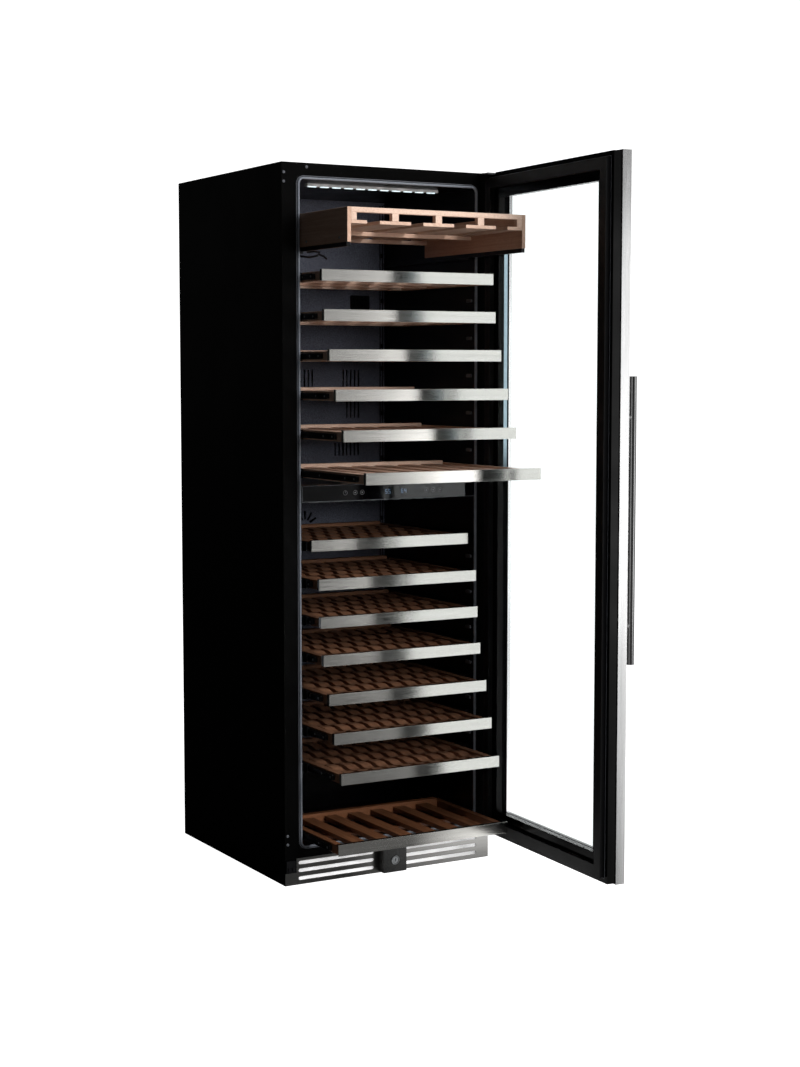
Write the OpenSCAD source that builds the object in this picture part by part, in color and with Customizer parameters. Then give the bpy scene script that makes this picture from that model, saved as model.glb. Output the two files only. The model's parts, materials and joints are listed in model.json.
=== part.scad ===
// Free-standing two-zone wine cooler: insulated cabinet, glass door and fifteen racks on slides.
// The origin is on the floor, at the middle of the cabinet's front plane. +X is right, +Y is back, +Z is up.

/* [Cabinet] */
// Width of the cabinet and of the door
cab_w = 595; // [560:1:640]
// Depth of the cabinet without the door
cab_d = 628; // [600:1:700]
// Height of the cabinet
cab_h = 1780; // [1760:1:1900]
// Thickness of the painted steel sheet
sheet_t = 1.5; // [1:0.1:2]
// Height of the plinth ring under the side panels
plinth_h = 10; // [8:1:20]
// Height of the kick space under the front flange
kick_h = 67; // [60:1:90]

/* [Interior] */
// Width of the side insulation and flange
wall = 47.5; // [40:0.5:60]
// Thickness of the moulded liner
liner_t = 2; // [1.5:0.1:3]
// Height of the interior floor
floor_z = 98; // [90:1:110]
// Insulation over the interior's ceiling
roof = 40; // [36:1:60]
// Insulation behind the air duct
back_wall = 84.5; // [70:0.5:100]
// Depth of the air duct behind the duct cover
duct_d = 70; // [60:1:75]
// Depth at which the step over the compressor begins
step_y = 345; // [335:1:360]
// Height of the step over the compressor
step_z = 265; // [250:1:270]
// Insulation around the compressor space
step_wall = 48; // [30:1:60]

/* [Middle shelf and controls] */
// Underside of the partition between the two zones
divider_z = 955.5; // [950:0.5:960]
// Thickness of the partition
divider_h = 40; // [36:1:42]
// How far the control fascia stands out of the front plane
fascia_out = 4; // [2:0.5:8]
// Radius of a touch key
key_r = 6.5; // [4:0.5:8]
// Places of the touch keys across the fascia
key_xs = [-128, -100, -80, 106, 126, 146];

/* [Racks] */
// Height of a rack's steel front trim
trim_h = 28; // [24:1:32]
// Gap between a wall and the front trim of the upper racks and the floor rack
wide_gap = 7.5; // [6:0.5:15]
// Gap between a wall and the front trim of the lower racks
narrow_gap = 24; // [16:0.5:35]
// Gap behind a rack whose front is in the front plane
rack_back_gap = 25; // [20:1:60]
// Gap behind the floor rack, in front of the compressor step
floor_back_gap = 15; // [15:1:40]
// Where the trims of the other racks stand when home, ahead of the front plane
home_out = 12; // [10:1:13]
// Where the floor rack's trim stands when home, behind the front plane
floor_home = 2; // [0:1:8]
// Height of the lowest upper rack over the partition
upper_gap = 18.5; // [15:0.5:25]
// Space over the highest upper rack, under the display rack
upper_space = 84; // [80:1:100]
// Height of the lowest lower rack over the compressor step
lower_gap = 13; // [10:0.5:20]
// Space over the highest lower rack, under the partition
lower_space = 122.5; // [100:0.5:130]
// Height of the floor rack over the interior's floor
floor_gap = 11; // [8:0.5:15]
// Width of a wide slat
wide_slat = 35; // [28:1:45]
// Width of a narrow slat
narrow_slat = 28; // [20:1:32]
// Thickness of a slide, from the rack's side to its channel's back
slide_t = 12; // [11:0.5:14]
// Distance from the front of a trim to the front end of its slides
runner_set = 42; // [25:1:60]
// How far each rack stands out of its home place, from the top rack to the floor rack
pull_outs = [229, 91, 102, 129, 161, 199, 309, 0, 40, 48, 62, 91, 117, 153, 182];
// Share of those distances at which the racks are drawn, 0 with every rack home
pull_share = 1; // [0:0.05:1]

/* [Display rack] */
// Distance from the ceiling down to the display rack's underside
display_drop = 164; // [150:1:180]
// Height of its side boards
display_h = 81; // [70:1:90]
// Gap between a wall and the display rack
display_gap = 3; // [2:0.5:10]
// Width of its flat slats
display_slat = 85; // [70:1:95]

/* [Door] */
// How far the door is open, in degrees
door_open = 87; // [0:1:120]
// Height of the door's lower edge
door_z = 74; // [72:1:80]
// Thickness of the door without its gasket
door_t = 46; // [44:1:50]
// Depth of the stainless outer frame
skin_d = 24; // [20:1:26]
// Thickness of the stainless sheet
skin_t = 1; // [0.8:0.1:1.2]
// Width of the black inner frame around the window
frame_w = 67; // [60:1:75]
// Gap from the front plane to the door's inner face, which the gasket fills
door_gap = 14; // [13.5:0.5:16]
// Thickness of one glass pane
pane_t = 5; // [4:0.5:6]
// Gap between the two panes
pane_gap = 11; // [8:1:11]
// Distance from the door's hinge edge to the hinge pin
pin_inset = 10; // [9:0.5:12]
// Radius of a hinge pin
pin_r = 4; // [3:0.1:4.5]
// Radial clearance of every pin in its bore
run_gap = 0.05; // [0.03:0.01:0.1]

/* [Handle] */
// Radius of the handle bar
bar_r = 9.5; // [8:0.5:12]
// Length of the handle bar
bar_l = 678; // [580:1:800]
// Distance between the two posts
post_span = 490; // [300:1:600]
// Height of the middle of the bar and its posts
post_z = 926; // [800:1:1100]
// Radius of a post
post_r = 6.5; // [5:0.5:8]
// Distance from the door's face to the bar's centre line
bar_out = 37; // [30:1:60]
// Distance from the free edge of the door to the bar's centre line
bar_inset = 42; // [25:1:60]

/* [Kick and lock] */
// Height of one grille slot
slot_h = 9; // [6:0.5:11]
// Lock block width
lock_w = 66; // [50:1:80]
// Lock block height
lock_h = 61; // [50:1:62]
// Lock block depth
lock_d = 28.5; // [20:0.5:40]
// Radius of the lock cylinder
lock_r = 8.6; // [7:0.1:10]

/* [Hidden] */
$fn = 48;
EPS = 0.01; // overcut of a hole through its wall
GAP = 0.5; // clearance between pieces that only stand near each other

RACKS = [for (i = [2:15]) i];

function two(i) = i < 10 ? str("0", i) : str(i);
function wood_name(i) = str("shelf_", two(i), "_wood");
function steel_name(i) = str("shelf_", two(i), "_steel");

half_w = cab_w / 2;
inner_x = half_w - wall;             // inner face of the liner's side wall
ceiling_z = cab_h - roof;
shell_x = half_w - sheet_t;          // inner face of the side panel
back_y = cab_d - sheet_t;            // front face of the back cover
liner_back = back_y - back_wall - liner_t;
inner_d = liner_back - duct_d;       // from the front plane to the duct cover
divider_top = divider_z + divider_h;

WOOD = [0.80, 0.60, 0.42];
STEEL = [0.78, 0.78, 0.78];
BLACK = [0.06, 0.06, 0.07];

// ---- racks: numbered 1 (display rack, top) to 15 (floor rack)
wide_trim = 2 * (inner_x - wide_gap);
narrow_trim = 2 * (inner_x - narrow_gap);
rack_d = inner_d - rack_back_gap;
floor_rack_d = step_y - floor_back_gap;
display_w = 2 * (inner_x - display_gap);
display_d = inner_d;
display_z = ceiling_z - display_drop;
UPPER_STEPS = 5;
LOWER_STEPS = 6;
upper_z = divider_top + upper_gap;
upper_pitch = (display_z - upper_space - upper_z) / UPPER_STEPS;
lower_z = step_z + lower_gap;
lower_pitch = (divider_z - lower_space - lower_z) / LOWER_STEPS;
floor_rack_z = floor_z + floor_gap;
function is_upper(i) = i <= 7;
function is_floor(i) = i == 15;
function is_narrow(i) = i > 7 && i < 15;
function rack_z(i) = is_upper(i) ? upper_z + (7 - i) * upper_pitch
    : is_floor(i) ? floor_rack_z : lower_z + (14 - i) * lower_pitch;
function home_y(i) = is_floor(i) ? floor_home : -home_out;
function rack_front(i) = home_y(i) - pull_share * pull_outs[i - 1];
function rack_depth(i) = is_floor(i) ? floor_rack_d : rack_d;
function trim_w(i) = is_narrow(i) ? narrow_trim : wide_trim;
trim_lap = 4.5;                      // how far a trim reaches past the rack's side on each side
function side_x(i) = trim_w(i) / 2 - trim_lap;      // outer face of the rack's side rail
trim_t = 1.5;                        // sheet of a trim
trim_return = 10;                    // depth of a trim's folded edges
side_fold = 2;                       // how far the folded ends reach down from the trim's top
rail_w = 18;                         // width of a side rail
rail_h = 24;
front_rail_d = 14;
rear_rail_d = 20;
rear_rail_h = 30;
batten_d = 14;
under_lift = 1;                      // gap under the wooden pieces, above the trim's lower edge
slat_t = 12;
slat_z = 10;                         // underside of the slats above the rack's underside
slide_z = 12;                        // centre line of a slide above the rack's underside
runner_h = 14;
channel_lip = 3;
WIDE_SLATS = 6;
NARROW_SLATS = 10;
scallop_r = 70;
scallop_depth = 5;
scallop_pitch = 88;

// two copies, one on each side of the middle plane
module both_sides() {
    children();
    mirror([1, 0, 0]) children();
}

// a box from its low corner to its high corner
module span(low, high) {
    translate(low) cube(high - low);
}

// flat slat along Y with chamfered upper edges, centred on x
module flat_slat(x, y0, y1, z0, width, thick, chamfer = 1.5) {
    translate([x, y1, z0]) rotate([90, 0, 0]) linear_extrude(y1 - y0)
        polygon([[-width / 2, 0], [width / 2, 0], [width / 2, thick - chamfer],
                 [width / 2 - chamfer, thick], [-width / 2 + chamfer, thick], [-width / 2, thick - chamfer]]);
}

// slat along Y whose top is cut by shallow round cradles
module wavy_slat(x, y0, y1, z0, width, thick) {
    length = y1 - y0;
    cradles = floor(length / scallop_pitch);
    first = (length - (cradles - 1) * scallop_pitch) / 2;
    translate([x - width / 2, y0, z0]) rotate([90, 0, 90]) linear_extrude(width) difference() {
        square([length, thick]);
        for (k = [0:cradles - 1])
            translate([first + k * scallop_pitch, thick + scallop_r - scallop_depth])
                circle(scallop_r, $fn = 96);
    }
}

function batten_count(i) = is_floor(i) ? 1 : 2;

module shelf_wood(i) {
    x = side_x(i);
    xi = x - rail_w;
    y0 = rack_front(i) + trim_t;
    y1 = rack_front(i) + rack_depth(i);
    z0 = rack_z(i) + under_lift;
    slat_low = rack_z(i) + slat_z;
    slat_end = y1 - rear_rail_d;
    batten_pitch = (y1 - y0) / (batten_count(i) + 1);
    color(WOOD) union() {
        both_sides() span([xi, y0, z0], [x, y1, rack_z(i) + rail_h]);
        span([-xi, y0, z0], [xi, y0 + front_rail_d, slat_low]);
        span([-xi, slat_end, z0], [xi, y1, rack_z(i) + rear_rail_h]);
        for (s = [1:batten_count(i)])
            translate([-xi, y0 + s * batten_pitch - batten_d / 2, z0]) cube([2 * xi, batten_d, slat_low - z0]);
        if (is_narrow(i)) {
            pitch = 2 * xi / NARROW_SLATS;
            for (k = [0:NARROW_SLATS - 1])
                wavy_slat(-xi + (k + 0.5) * pitch, y0, slat_end, slat_low, narrow_slat, slat_t);
        } else {
            pitch = 2 * x / (WIDE_SLATS + 1);
            for (k = [1:WIDE_SLATS])
                flat_slat(-x + k * pitch, y0, slat_end, slat_low, wide_slat, slat_t);
        }
    }
}

module shelf_steel(i) {
    x = side_x(i);
    w = trim_w(i) / 2;
    yf = rack_front(i);
    z0 = rack_z(i);
    z1 = z0 + trim_h;
    run_x = x + slide_t - channel_lip - GAP;        // runner's outer face, clear of the channel's back
    run_z = z0 + slide_z;
    color(STEEL) {
        span([-w, yf, z0], [w, yf + trim_t, z1]);
        span([-w, yf + trim_t, z1 - trim_t], [w, yf + trim_t + trim_return, z1]);
        both_sides() span([w - trim_t, yf + trim_t, z1 - side_fold], [w, yf + trim_t + trim_return, z1 - trim_t]);
        both_sides() span([x, yf + runner_set, run_z - runner_h / 2],
                          [run_x, yf + rack_depth(i), run_z + runner_h / 2]);
    }
}

display_board = 10;
display_bar = 12;                    // height of the front top bar
display_bar_d = 16;
display_post = 18;
display_post_d = 14;
display_end_post = 15;
display_batten_h = 10;
display_floor = 43;                  // underside of the slats above the rack's underside
display_slat_t = 8;
display_bays = 4;

module shelf_01_rack() {
    yf = rack_front(1);
    yb = yf + display_d;
    x = display_w / 2;
    xi = x - display_board;
    z0 = display_z;
    top = display_z + display_h;
    slat_top = z0 + display_floor + display_slat_t;
    bay = 2 * xi / display_bays;
    half_slat = display_slat / 2;
    color(WOOD) union() {
        both_sides() span([xi, yf, z0], [x, yb, top]);
        span([-xi, yf, top - display_bar], [xi, yf + display_bar_d, top]);
        for (k = [1:display_bays - 1])
            translate([-xi + k * bay - display_post / 2, yf, slat_top])
                cube([display_post, display_post_d, top - display_bar - slat_top]);
        both_sides() span([xi - display_end_post, yf, slat_top], [xi, yf + display_post_d, top - display_bar]);
        for (k = [1:display_bays - 1])
            span([-xi + k * bay - half_slat, yf, z0 + display_floor],
                 [-xi + k * bay + half_slat, yb, slat_top]);
        both_sides() span([xi - half_slat, yf, z0 + display_floor], [xi, yb, slat_top]);
        for (y = [yb - batten_d, yf + display_d / 2])
            span([-xi, y, z0 + display_floor - display_batten_h], [xi, y + batten_d, z0 + display_floor]);
    }
}

display_runner_h = 10;
display_runner_w = 9;
module shelf_01_runners() {
    yf = rack_front(1);
    x = display_w / 2;
    color(STEEL) both_sides()
        span([x - display_runner_w, yf + 4, display_z - display_runner_h],
             [x, yf + display_d - 10, display_z]);
}

// ---- fixed slide channels on the liner's walls
channel_h = 22;
channel_y0 = 4;
bracket_l = 40;                      // length of each of a channel's two wall brackets
module channel(i) {
    x = side_x(i);
    zc = rack_z(i) + slide_z;
    y1 = rack_depth(i) - home_out;
    back_x = x + slide_t;
    span([back_x - channel_lip, channel_y0, zc - channel_h / 2], [back_x, y1, zc + channel_h / 2]);
    for (s = [-1, 1])
        translate([x + channel_lip, channel_y0, zc + s * (channel_h - channel_lip) / 2 - channel_lip / 2])
            cube([back_x - x - 2 * channel_lip, y1 - channel_y0, channel_lip]);
    if (back_x < inner_x)
        for (y = [channel_y0 + 16, y1 - 30 - bracket_l])
            span([back_x, y, zc - channel_h / 2], [inner_x, y + bracket_l, zc + channel_h / 2]);
}

module slide_channels() {
    ledge_z = display_z - display_runner_h - GAP;
    ledge_back = display_d - 20;
    ledge_t = 4;
    color(BLACK) {
        for (i = RACKS) both_sides() channel(i);
        both_sides() {
            span([display_w / 2 - display_runner_w, channel_y0, ledge_z - ledge_t],
                 [inner_x, ledge_back, ledge_z]);
            span([display_w / 2 + 1, channel_y0, ledge_z], [inner_x, ledge_back, display_z - 1]);
        }
    }
}

// ---- cabinet
hinge_y = 30;                        // how far a hinge plate reaches into the cabinet
plate_t = 4;
plate_x = half_w - 35.5;             // inner edge of a hinge plate
plate_out = 45;                      // how far a hinge plate stands out of the front plane
top_plate_z = cab_h - 6;             // underside of the top hinge plate
low_plate_z = kick_h + 1;            // underside of the bottom hinge plate
// spare hinge holes: distance from the cabinet's left side, and height against its top
HINGE_HOLES = [[5.5, -25], [5.5, -47], [67.5, -10]];
hole_r = 2.6;
screw_depth = 20;

module hinge_pocket(grow) {
    low_x = plate_x - 1 - grow;
    high_x = shell_x - EPS + grow;
    span([low_x, -1, top_plate_z - GAP - grow], [high_x, hinge_y + 1, top_plate_z + plate_t + GAP]);
    span([low_x, -1, kick_h - 1], [high_x, hinge_y + 1, low_plate_z + plate_t + GAP + grow]);
}

module hinge_holes(r, depth) {
    for (h = HINGE_HOLES)
        translate([h[0] - half_w, depth, cab_h + h[1]]) rotate([90, 0, 0]) cylinder(r = r, h = depth + 1);
}

module outer_shell() {
    color(BLACK) difference() {
        span([-half_w, 0, plinth_h], [half_w, back_y, cab_h]);
        span([-shell_x, sheet_t, plinth_h - 1], [shell_x, back_y + 1, cab_h - sheet_t]);
        span([-inner_x - liner_t, -1, floor_z - liner_t],
             [inner_x + liner_t, sheet_t + 1, ceiling_z + liner_t]);
        span([-shell_x, -1, plinth_h - 1], [shell_x, sheet_t + 1, kick_h]);
        hinge_pocket(0);
        hinge_holes(hole_r, sheet_t + 1);
    }
}

louvre_h = 6;
louvre_w = 100;
louvre_pitch = 14;
louvre_z0 = 50;
inlet_r = 11;
lead_r = 4.5;                        // bore for the supply lead
inlet_at = [-half_w + 87.5, 90];
module back_cover() {
    color(BLACK) difference() {
        span([-half_w, back_y, plinth_h], [half_w, cab_d, cab_h]);
        for (z = [louvre_z0:louvre_pitch:machine_z - 27], x = [-130, 0, 130])
            translate([x - louvre_w / 2, back_y - 1, z]) cube([louvre_w, sheet_t + 2, louvre_h]);
        translate([inlet_at[0], back_y - 1, inlet_at[1]]) rotate([-90, 0, 0])
            cylinder(r = inlet_r, h = sheet_t + 2);
    }
}

// flanged inlet for the supply lead, pushed into the back cover
module mains_inlet() {
    color([0.15, 0.15, 0.15]) translate([inlet_at[0], back_y, inlet_at[1]]) rotate([-90, 0, 0]) difference() {
        union() {
            translate([0, 0, -14]) cylinder(r = inlet_r - 0.1, h = 14 + sheet_t);
            translate([0, 0, sheet_t]) cylinder(r = inlet_r + 4, h = 3);
        }
        translate([0, 0, -15]) cylinder(r = lead_r, h = 25);
    }
}

foot_r = 16;
foot_stem = 5;
FEET = [for (x = [-1, 1], y = [42, cab_d - 42]) [x * (half_w - 40), y]];
kick_wall = 2;
slot_rows = [16, 36, 55.5];
slot_x0 = 47;
slot_x1 = half_w - 37;

module slots(grow, depth) {
    for (z = slot_rows) both_sides() translate([0, 0, z]) rotate([90, 0, 0]) linear_extrude(depth) union() {
        translate([slot_x0 + slot_h / 2, -slot_h / 2 - grow])
            square([slot_x1 - slot_x0 - slot_h, slot_h + 2 * grow]);
        for (x = [slot_x0 + slot_h / 2, slot_x1 - slot_h / 2]) translate([x, 0]) circle(slot_h / 2 + grow);
    }
}

module base_tray() {
    ring = 15;
    color(BLACK) difference() {
        union() {
            difference() {
                span([-half_w, 0, 0], [half_w, cab_d, plinth_h]);
                span([-half_w + ring, ring, -1], [half_w - ring, cab_d - ring, plinth_h - 2]);
            }
            span([-shell_x, 0, plinth_h], [shell_x, kick_wall, kick_h]);
        }
        translate([0, kick_wall + 1, 0]) slots(1, kick_wall + 2);
        for (f = FEET) translate([f[0], f[1], 0]) cylinder(r = foot_stem + 0.2, h = plinth_h + 1);
        hinge_pocket(0);
    }
}

module levelling_feet() {
    color([0.2, 0.2, 0.2]) for (f = FEET) translate([f[0], f[1], 0]) {
        cylinder(r = foot_r, h = 6);
        translate([0, 0, 6]) cylinder(r = foot_stem, h = 26);
    }
}

// space for the compressor, under the step of the liner
machine_y = step_y + step_wall;
machine_z = step_z - step_wall;

module inner_block(grow) {
    span([-inner_x - grow, -1, floor_z - grow], [inner_x + grow, step_y + grow, ceiling_z + grow]);
    span([-inner_x - grow, -1, step_z - grow], [inner_x + grow, liner_back + grow, ceiling_z + grow]);
}

module insulation() {
    color([0.92, 0.87, 0.62]) difference() {
        span([-shell_x, kick_wall, kick_h], [shell_x, back_y, cab_h - sheet_t]);
        inner_block(liner_t);
        span([-shell_x - 1, machine_y, kick_h - 1], [shell_x + 1, back_y + 1, machine_z]);
        hinge_pocket(0.5);
        hinge_holes(hole_r + 0.6, screw_depth);
    }
}

lip_w = 7;
lip_t = 1.2;
module liner() {
    color(BLACK) union() {
        difference() {
            intersection() {
                inner_block(liner_t);
                span([-half_w, 0, 0], [half_w, cab_d, cab_h]);
            }
            inner_block(0);
        }
        difference() {
            span([-inner_x - lip_w, -lip_t, floor_z - lip_w], [inner_x + lip_w, 0, ceiling_z + lip_w]);
            span([-inner_x, -2 * lip_t, floor_z], [inner_x, 1, ceiling_z]);
        }
    }
}

fascia_back = 5;
module zone_divider() {
    color(BLACK) span([-inner_x, fascia_back, divider_z], [inner_x, inner_d - GAP, divider_top]);
}

module control_fascia() {
    color([0.02, 0.02, 0.02])
        span([-inner_x + 1, -fascia_out, divider_z], [inner_x - 1, fascia_back, divider_top]);
}

key_t = 0.4;
module touch_keys() {
    color([0.7, 0.7, 0.7]) for (x = key_xs)
        translate([x, -fascia_out, divider_z + divider_h / 2]) rotate([90, 0, 0])
            cylinder(r = key_r, h = key_t);
}

led_l = 376;
led_y = 78;
led_w = 16;
led_h = 7;
module led_bars() {
    color([1, 1, 1]) for (z = [ceiling_z, divider_z])
        span([-led_l / 2, led_y, z - led_h], [led_l / 2, led_y + led_w, z]);
}

// ---- air ducts, fans and cooling circuit
cover_t = 2;
fan_r = 42;
fan_z = [ceiling_z - 100, divider_z - 100];
vent_pitch = 12;
vent_w = 4.5;
// groups of upright vents: height of the middle, half height, x of the middle, number of slots
UPPER_VENTS = [[1256, 24, 143, 5], [1256, 24, 0, 5], [1256, 24, -143, 5],
               [1170, 22, 149, 4], [1170, 22, -149, 4], [1062, 18, 130, 7], [1062, 18, -130, 7]];
LOWER_VENTS = [[700, 24, 130, 6], [700, 24, -130, 6], [450, 24, 130, 6], [450, 24, -130, 6]];
fan_pin_r = 2.5;                     // radius of a fan's pin
fan_hub_r = 14;
rotor_y = inner_d + 12;
rotor_d = 18;

module fan_seat(z) {
    // the hub plate, the rotor's pin and the collar round the rotor
    translate([0, inner_d + cover_t, z]) rotate([-90, 0, 0]) {
        cylinder(r = fan_hub_r - 1, h = 4);
        cylinder(r = fan_pin_r, h = 10 + rotor_d);
        difference() {
            cylinder(r = fan_r + 6, h = 8);
            translate([0, 0, -1]) cylinder(r = fan_r + 3, h = 10);
        }
    }
}

module fan_guard(z) {
    translate([0, inner_d - 1, z]) rotate([-90, 0, 0]) for (a = [0:30:330]) rotate(a)
        translate([16, -3, 0]) cube([fan_r - 18, 6, cover_t + 2]);
}

module duct_cover(z0, z1, vents, zf) {
    union() {
        difference() {
            span([-inner_x + GAP, inner_d, z0], [inner_x - GAP, inner_d + cover_t, z1]);
            for (v = vents, k = [0:v[3] - 1])
                translate([v[2] + (k - (v[3] - 1) / 2) * vent_pitch - vent_w / 2, inner_d - 1, v[0] - v[1]])
                    cube([vent_w, cover_t + 2, 2 * v[1]]);
            fan_guard(zf);
        }
        fan_seat(zf);
    }
}

module duct_covers() {
    color([0.10, 0.11, 0.14]) {
        duct_cover(divider_top + GAP, ceiling_z - GAP, UPPER_VENTS, fan_z[0]);
        duct_cover(step_z + GAP, divider_top - GAP, LOWER_VENTS, fan_z[1]);
    }
}

blades = 7;
module rotor(z) {
    bore = fan_pin_r + run_gap;
    translate([0, rotor_y, z]) rotate([-90, 0, 0]) difference() {
        union() {
            cylinder(r = fan_hub_r, h = rotor_d - 2);
            for (k = [0:blades - 1]) rotate(k * 360 / blades)
                translate([13, -1, 2]) rotate([35, 0, 0]) cube([fan_r - 15, 2, 15]);
        }
        translate([0, 0, -1]) cylinder(r = bore, h = rotor_d + 2);
    }
}

module fan_upper() { color([0.1, 0.1, 0.1]) rotor(fan_z[0]); }
module fan_lower() { color([0.1, 0.1, 0.1]) rotor(fan_z[1]); }

fins = 14;
fin_t = 1.5;
tube_r = 4;
tube_out = 6;                        // how far a tube stands out of the outer fins
module finned_coil(w, d, h) {
    union() {
        for (k = [0:fins - 1]) translate([k * (w - fin_t) / (fins - 1), 0, 0]) cube([fin_t, d, h]);
        for (z = [h * 0.2, h * 0.5, h * 0.8])
            translate([-tube_out, d / 2, z]) rotate([0, 90, 0]) cylinder(r = tube_r, h = w + 2 * tube_out);
    }
}

coil_w = 300;
coil_d = 36;
coil_h = 300;
coil_drop = 390;                     // from the fan's axis down to the foot of the coil under it
module evaporators() {
    gap = (duct_d + cover_t - coil_d) / 2;
    color([0.75, 0.75, 0.77]) for (z = fan_z)
        translate([-coil_w / 2, inner_d + gap, z - coil_drop]) finned_coil(coil_w, coil_d, coil_h);
}

can_x = -110;
can_r = 72;
can_h = 110;
can_top = 30;                        // height of the can's sloped top
can_foot = 6;
can_lift = 18;                       // rubber mount between the foot and the can
module compressor() {
    y = (machine_y + back_y) / 2 + 4;
    color([0.12, 0.12, 0.12]) translate([can_x, y, plinth_h]) union() {
        cylinder(r = can_r - 2, h = can_foot);
        translate([0, 0, can_foot]) cylinder(r = 8, h = can_lift - can_foot);
        translate([0, 0, can_lift]) cylinder(r = can_r, h = can_h);
        translate([0, 0, can_lift + can_h]) cylinder(r1 = can_r, r2 = can_r - 32, h = can_top);
        translate([can_r + 2, 0, 60]) cube([22, 50, 60], center = true);
    }
}

condenser_w = 190;
condenser_d = 40;
condenser_h = 170;
condenser_fan_at = [155, 105];       // x and z of the fan's axis
condenser_fan_y = machine_y + 88;
condenser_fan_l = 24;
module condenser() {
    x = condenser_fan_at[0];
    post_y = condenser_fan_y + condenser_fan_l + 2;
    color([0.45, 0.45, 0.47]) {
        translate([x - condenser_w / 2, machine_y + 20, plinth_h]) union() {
            cube([condenser_w, condenser_d, 4]);
            translate([0, 0, 4]) finned_coil(condenser_w, condenser_d, condenser_h);
        }
        union() {
            span([x - 10, post_y, plinth_h], [x + 10, post_y + 4, condenser_fan_at[1] + 12]);
            translate([x, post_y, condenser_fan_at[1]]) rotate([90, 0, 0])
                cylinder(r = fan_pin_r, h = condenser_fan_l);
        }
    }
}

module condenser_fan() {
    bore = fan_pin_r + run_gap;
    y = condenser_fan_y;
    hub_r = 20;
    blade_l = 45;
    color([0.1, 0.1, 0.1]) translate([condenser_fan_at[0], y, condenser_fan_at[1]]) rotate([-90, 0, 0])
        difference() {
            union() {
                cylinder(r = hub_r, h = condenser_fan_l);
                for (k = [0:blades - 1]) rotate(k * 360 / blades)
                    translate([hub_r - 1, -1.5, 4]) rotate([35, 0, 0]) cube([blade_l, 3, 22]);
            }
            translate([0, 0, -1]) cylinder(r = bore, h = condenser_fan_l + 2);
        }
}

// ---- hinges, kick grille and lock
pin_x = half_w - pin_inset;
pin_y = -door_gap - 14;
pin_l = 22;

module hinge_top() {
    color(STEEL) union() {
        span([plate_x, -plate_out, top_plate_z], [half_w - 2, hinge_y, top_plate_z + plate_t]);
        translate([pin_x, pin_y, top_plate_z - pin_l]) cylinder(r = pin_r, h = pin_l + 1);
    }
}

module hinge_bottom() {
    color(STEEL) union() {
        span([plate_x, -plate_out, low_plate_z], [half_w - 2, hinge_y, low_plate_z + plate_t]);
        translate([pin_x, pin_y, low_plate_z + plate_t - 1]) cylinder(r = pin_r, h = pin_l + 3);
        translate([pin_x, pin_y, low_plate_z + plate_t - 1]) cylinder(r = 8, h = 4.5);
    }
}

module kick_grille() {
    color(STEEL) difference() {
        span([-half_w, -sheet_t, 1], [half_w, 0, kick_h]);
        translate([0, 1, 0]) slots(0, sheet_t + 2);
        span([-half_w - 1, -sheet_t - 1, 31], [-slot_x1 - 6, 1, kick_h + 1]);
    }
}

lock_z = 5;
lock_at = lock_z + lock_h / 2;
lock_bore = 22;
module lock_housing() {
    color([0.25, 0.25, 0.25]) difference() {
        span([-lock_w / 2, -sheet_t - lock_d, lock_z], [lock_w / 2, -sheet_t, lock_z + lock_h]);
        translate([0, -sheet_t - lock_d + lock_bore, lock_at]) rotate([90, 0, 0])
            cylinder(r = lock_r + run_gap, h = lock_bore + 1);
    }
}

module lock_cylinder() {
    front = -sheet_t - lock_d;
    color(STEEL) difference() {
        translate([0, front + lock_bore - 0.5, lock_at]) rotate([90, 0, 0]) cylinder(r = lock_r, h = lock_bore);
        span([-1, front - 2, lock_at - 4.5], [1, front + 8, lock_at + 4.5]);
    }
}

// ---- door, drawn closed and then turned on its pins
glass_front = door_t + door_gap - 8.8;   // outer face of the outer pane, ahead of the front plane
glass_in = glass_front - 2 * pane_t - pane_gap;
notch_x = plate_x - 13;

module place_door() {
    translate([pin_x, pin_y, 0]) rotate([0, 0, door_open]) translate([-pin_x, -pin_y, 0]) children();
}

// a square ring between two insets from the door's outline
module door_ring(inset, inner, y0, y1) {
    difference() {
        span([-half_w + inset, y0, door_z + inset], [half_w - inset, y1, cab_h - inset]);
        span([-half_w + inner, y0 - 1, door_z + inner], [half_w - inner, y1 + 1, cab_h - inner]);
    }
}

module hinge_notch() {
    span([notch_x, -door_t - door_gap - 1, top_plate_z - 1], [half_w + 1, 0, cab_h + 1]);
}

door_face = -door_gap - door_t;
skin_back = door_face + skin_d;
skin_border = frame_w - 7;

module door_frame() {
    color(STEEL) place_door() difference() {
        union() {
            door_ring(0, skin_border, door_face, door_face + skin_t);
            door_ring(0, skin_t, door_face + skin_t, skin_back);
            door_ring(skin_border - skin_t, skin_border, door_face + skin_t, -glass_front - 0.4);
        }
        hinge_notch();
    }
}

module door_inner_frame() {
    edge = skin_t + 0.2;
    color(BLACK) place_door() difference() {
        union() {
            door_ring(edge, skin_border - skin_t - 0.2, door_face + skin_t + 0.2, -glass_front - 0.4);
            door_ring(edge, skin_border - 12, -glass_front - 0.4, skin_back);
            door_ring(3, skin_border - 12, skin_back, -glass_in + 0.3);
            door_ring(3, frame_w, -glass_in + 0.3, -door_gap);
        }
        hinge_notch();
        translate([pin_x, pin_y, top_plate_z - pin_l - 2]) cylinder(r = pin_r + run_gap, h = pin_l + 2);
        translate([pin_x, pin_y, door_z]) cylinder(r = pin_r + run_gap, h = pin_l + 4);
    }
}

glass_edge = skin_border - 11.5;
module door_glass() {
    color([0.75, 0.85, 0.85, 0.3]) place_door() for (y = [-glass_front, -glass_front + pane_t + pane_gap])
        span([-half_w + glass_edge, y, door_z + glass_edge],
             [half_w - glass_edge, y + pane_t, cab_h - glass_edge]);
}

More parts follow.
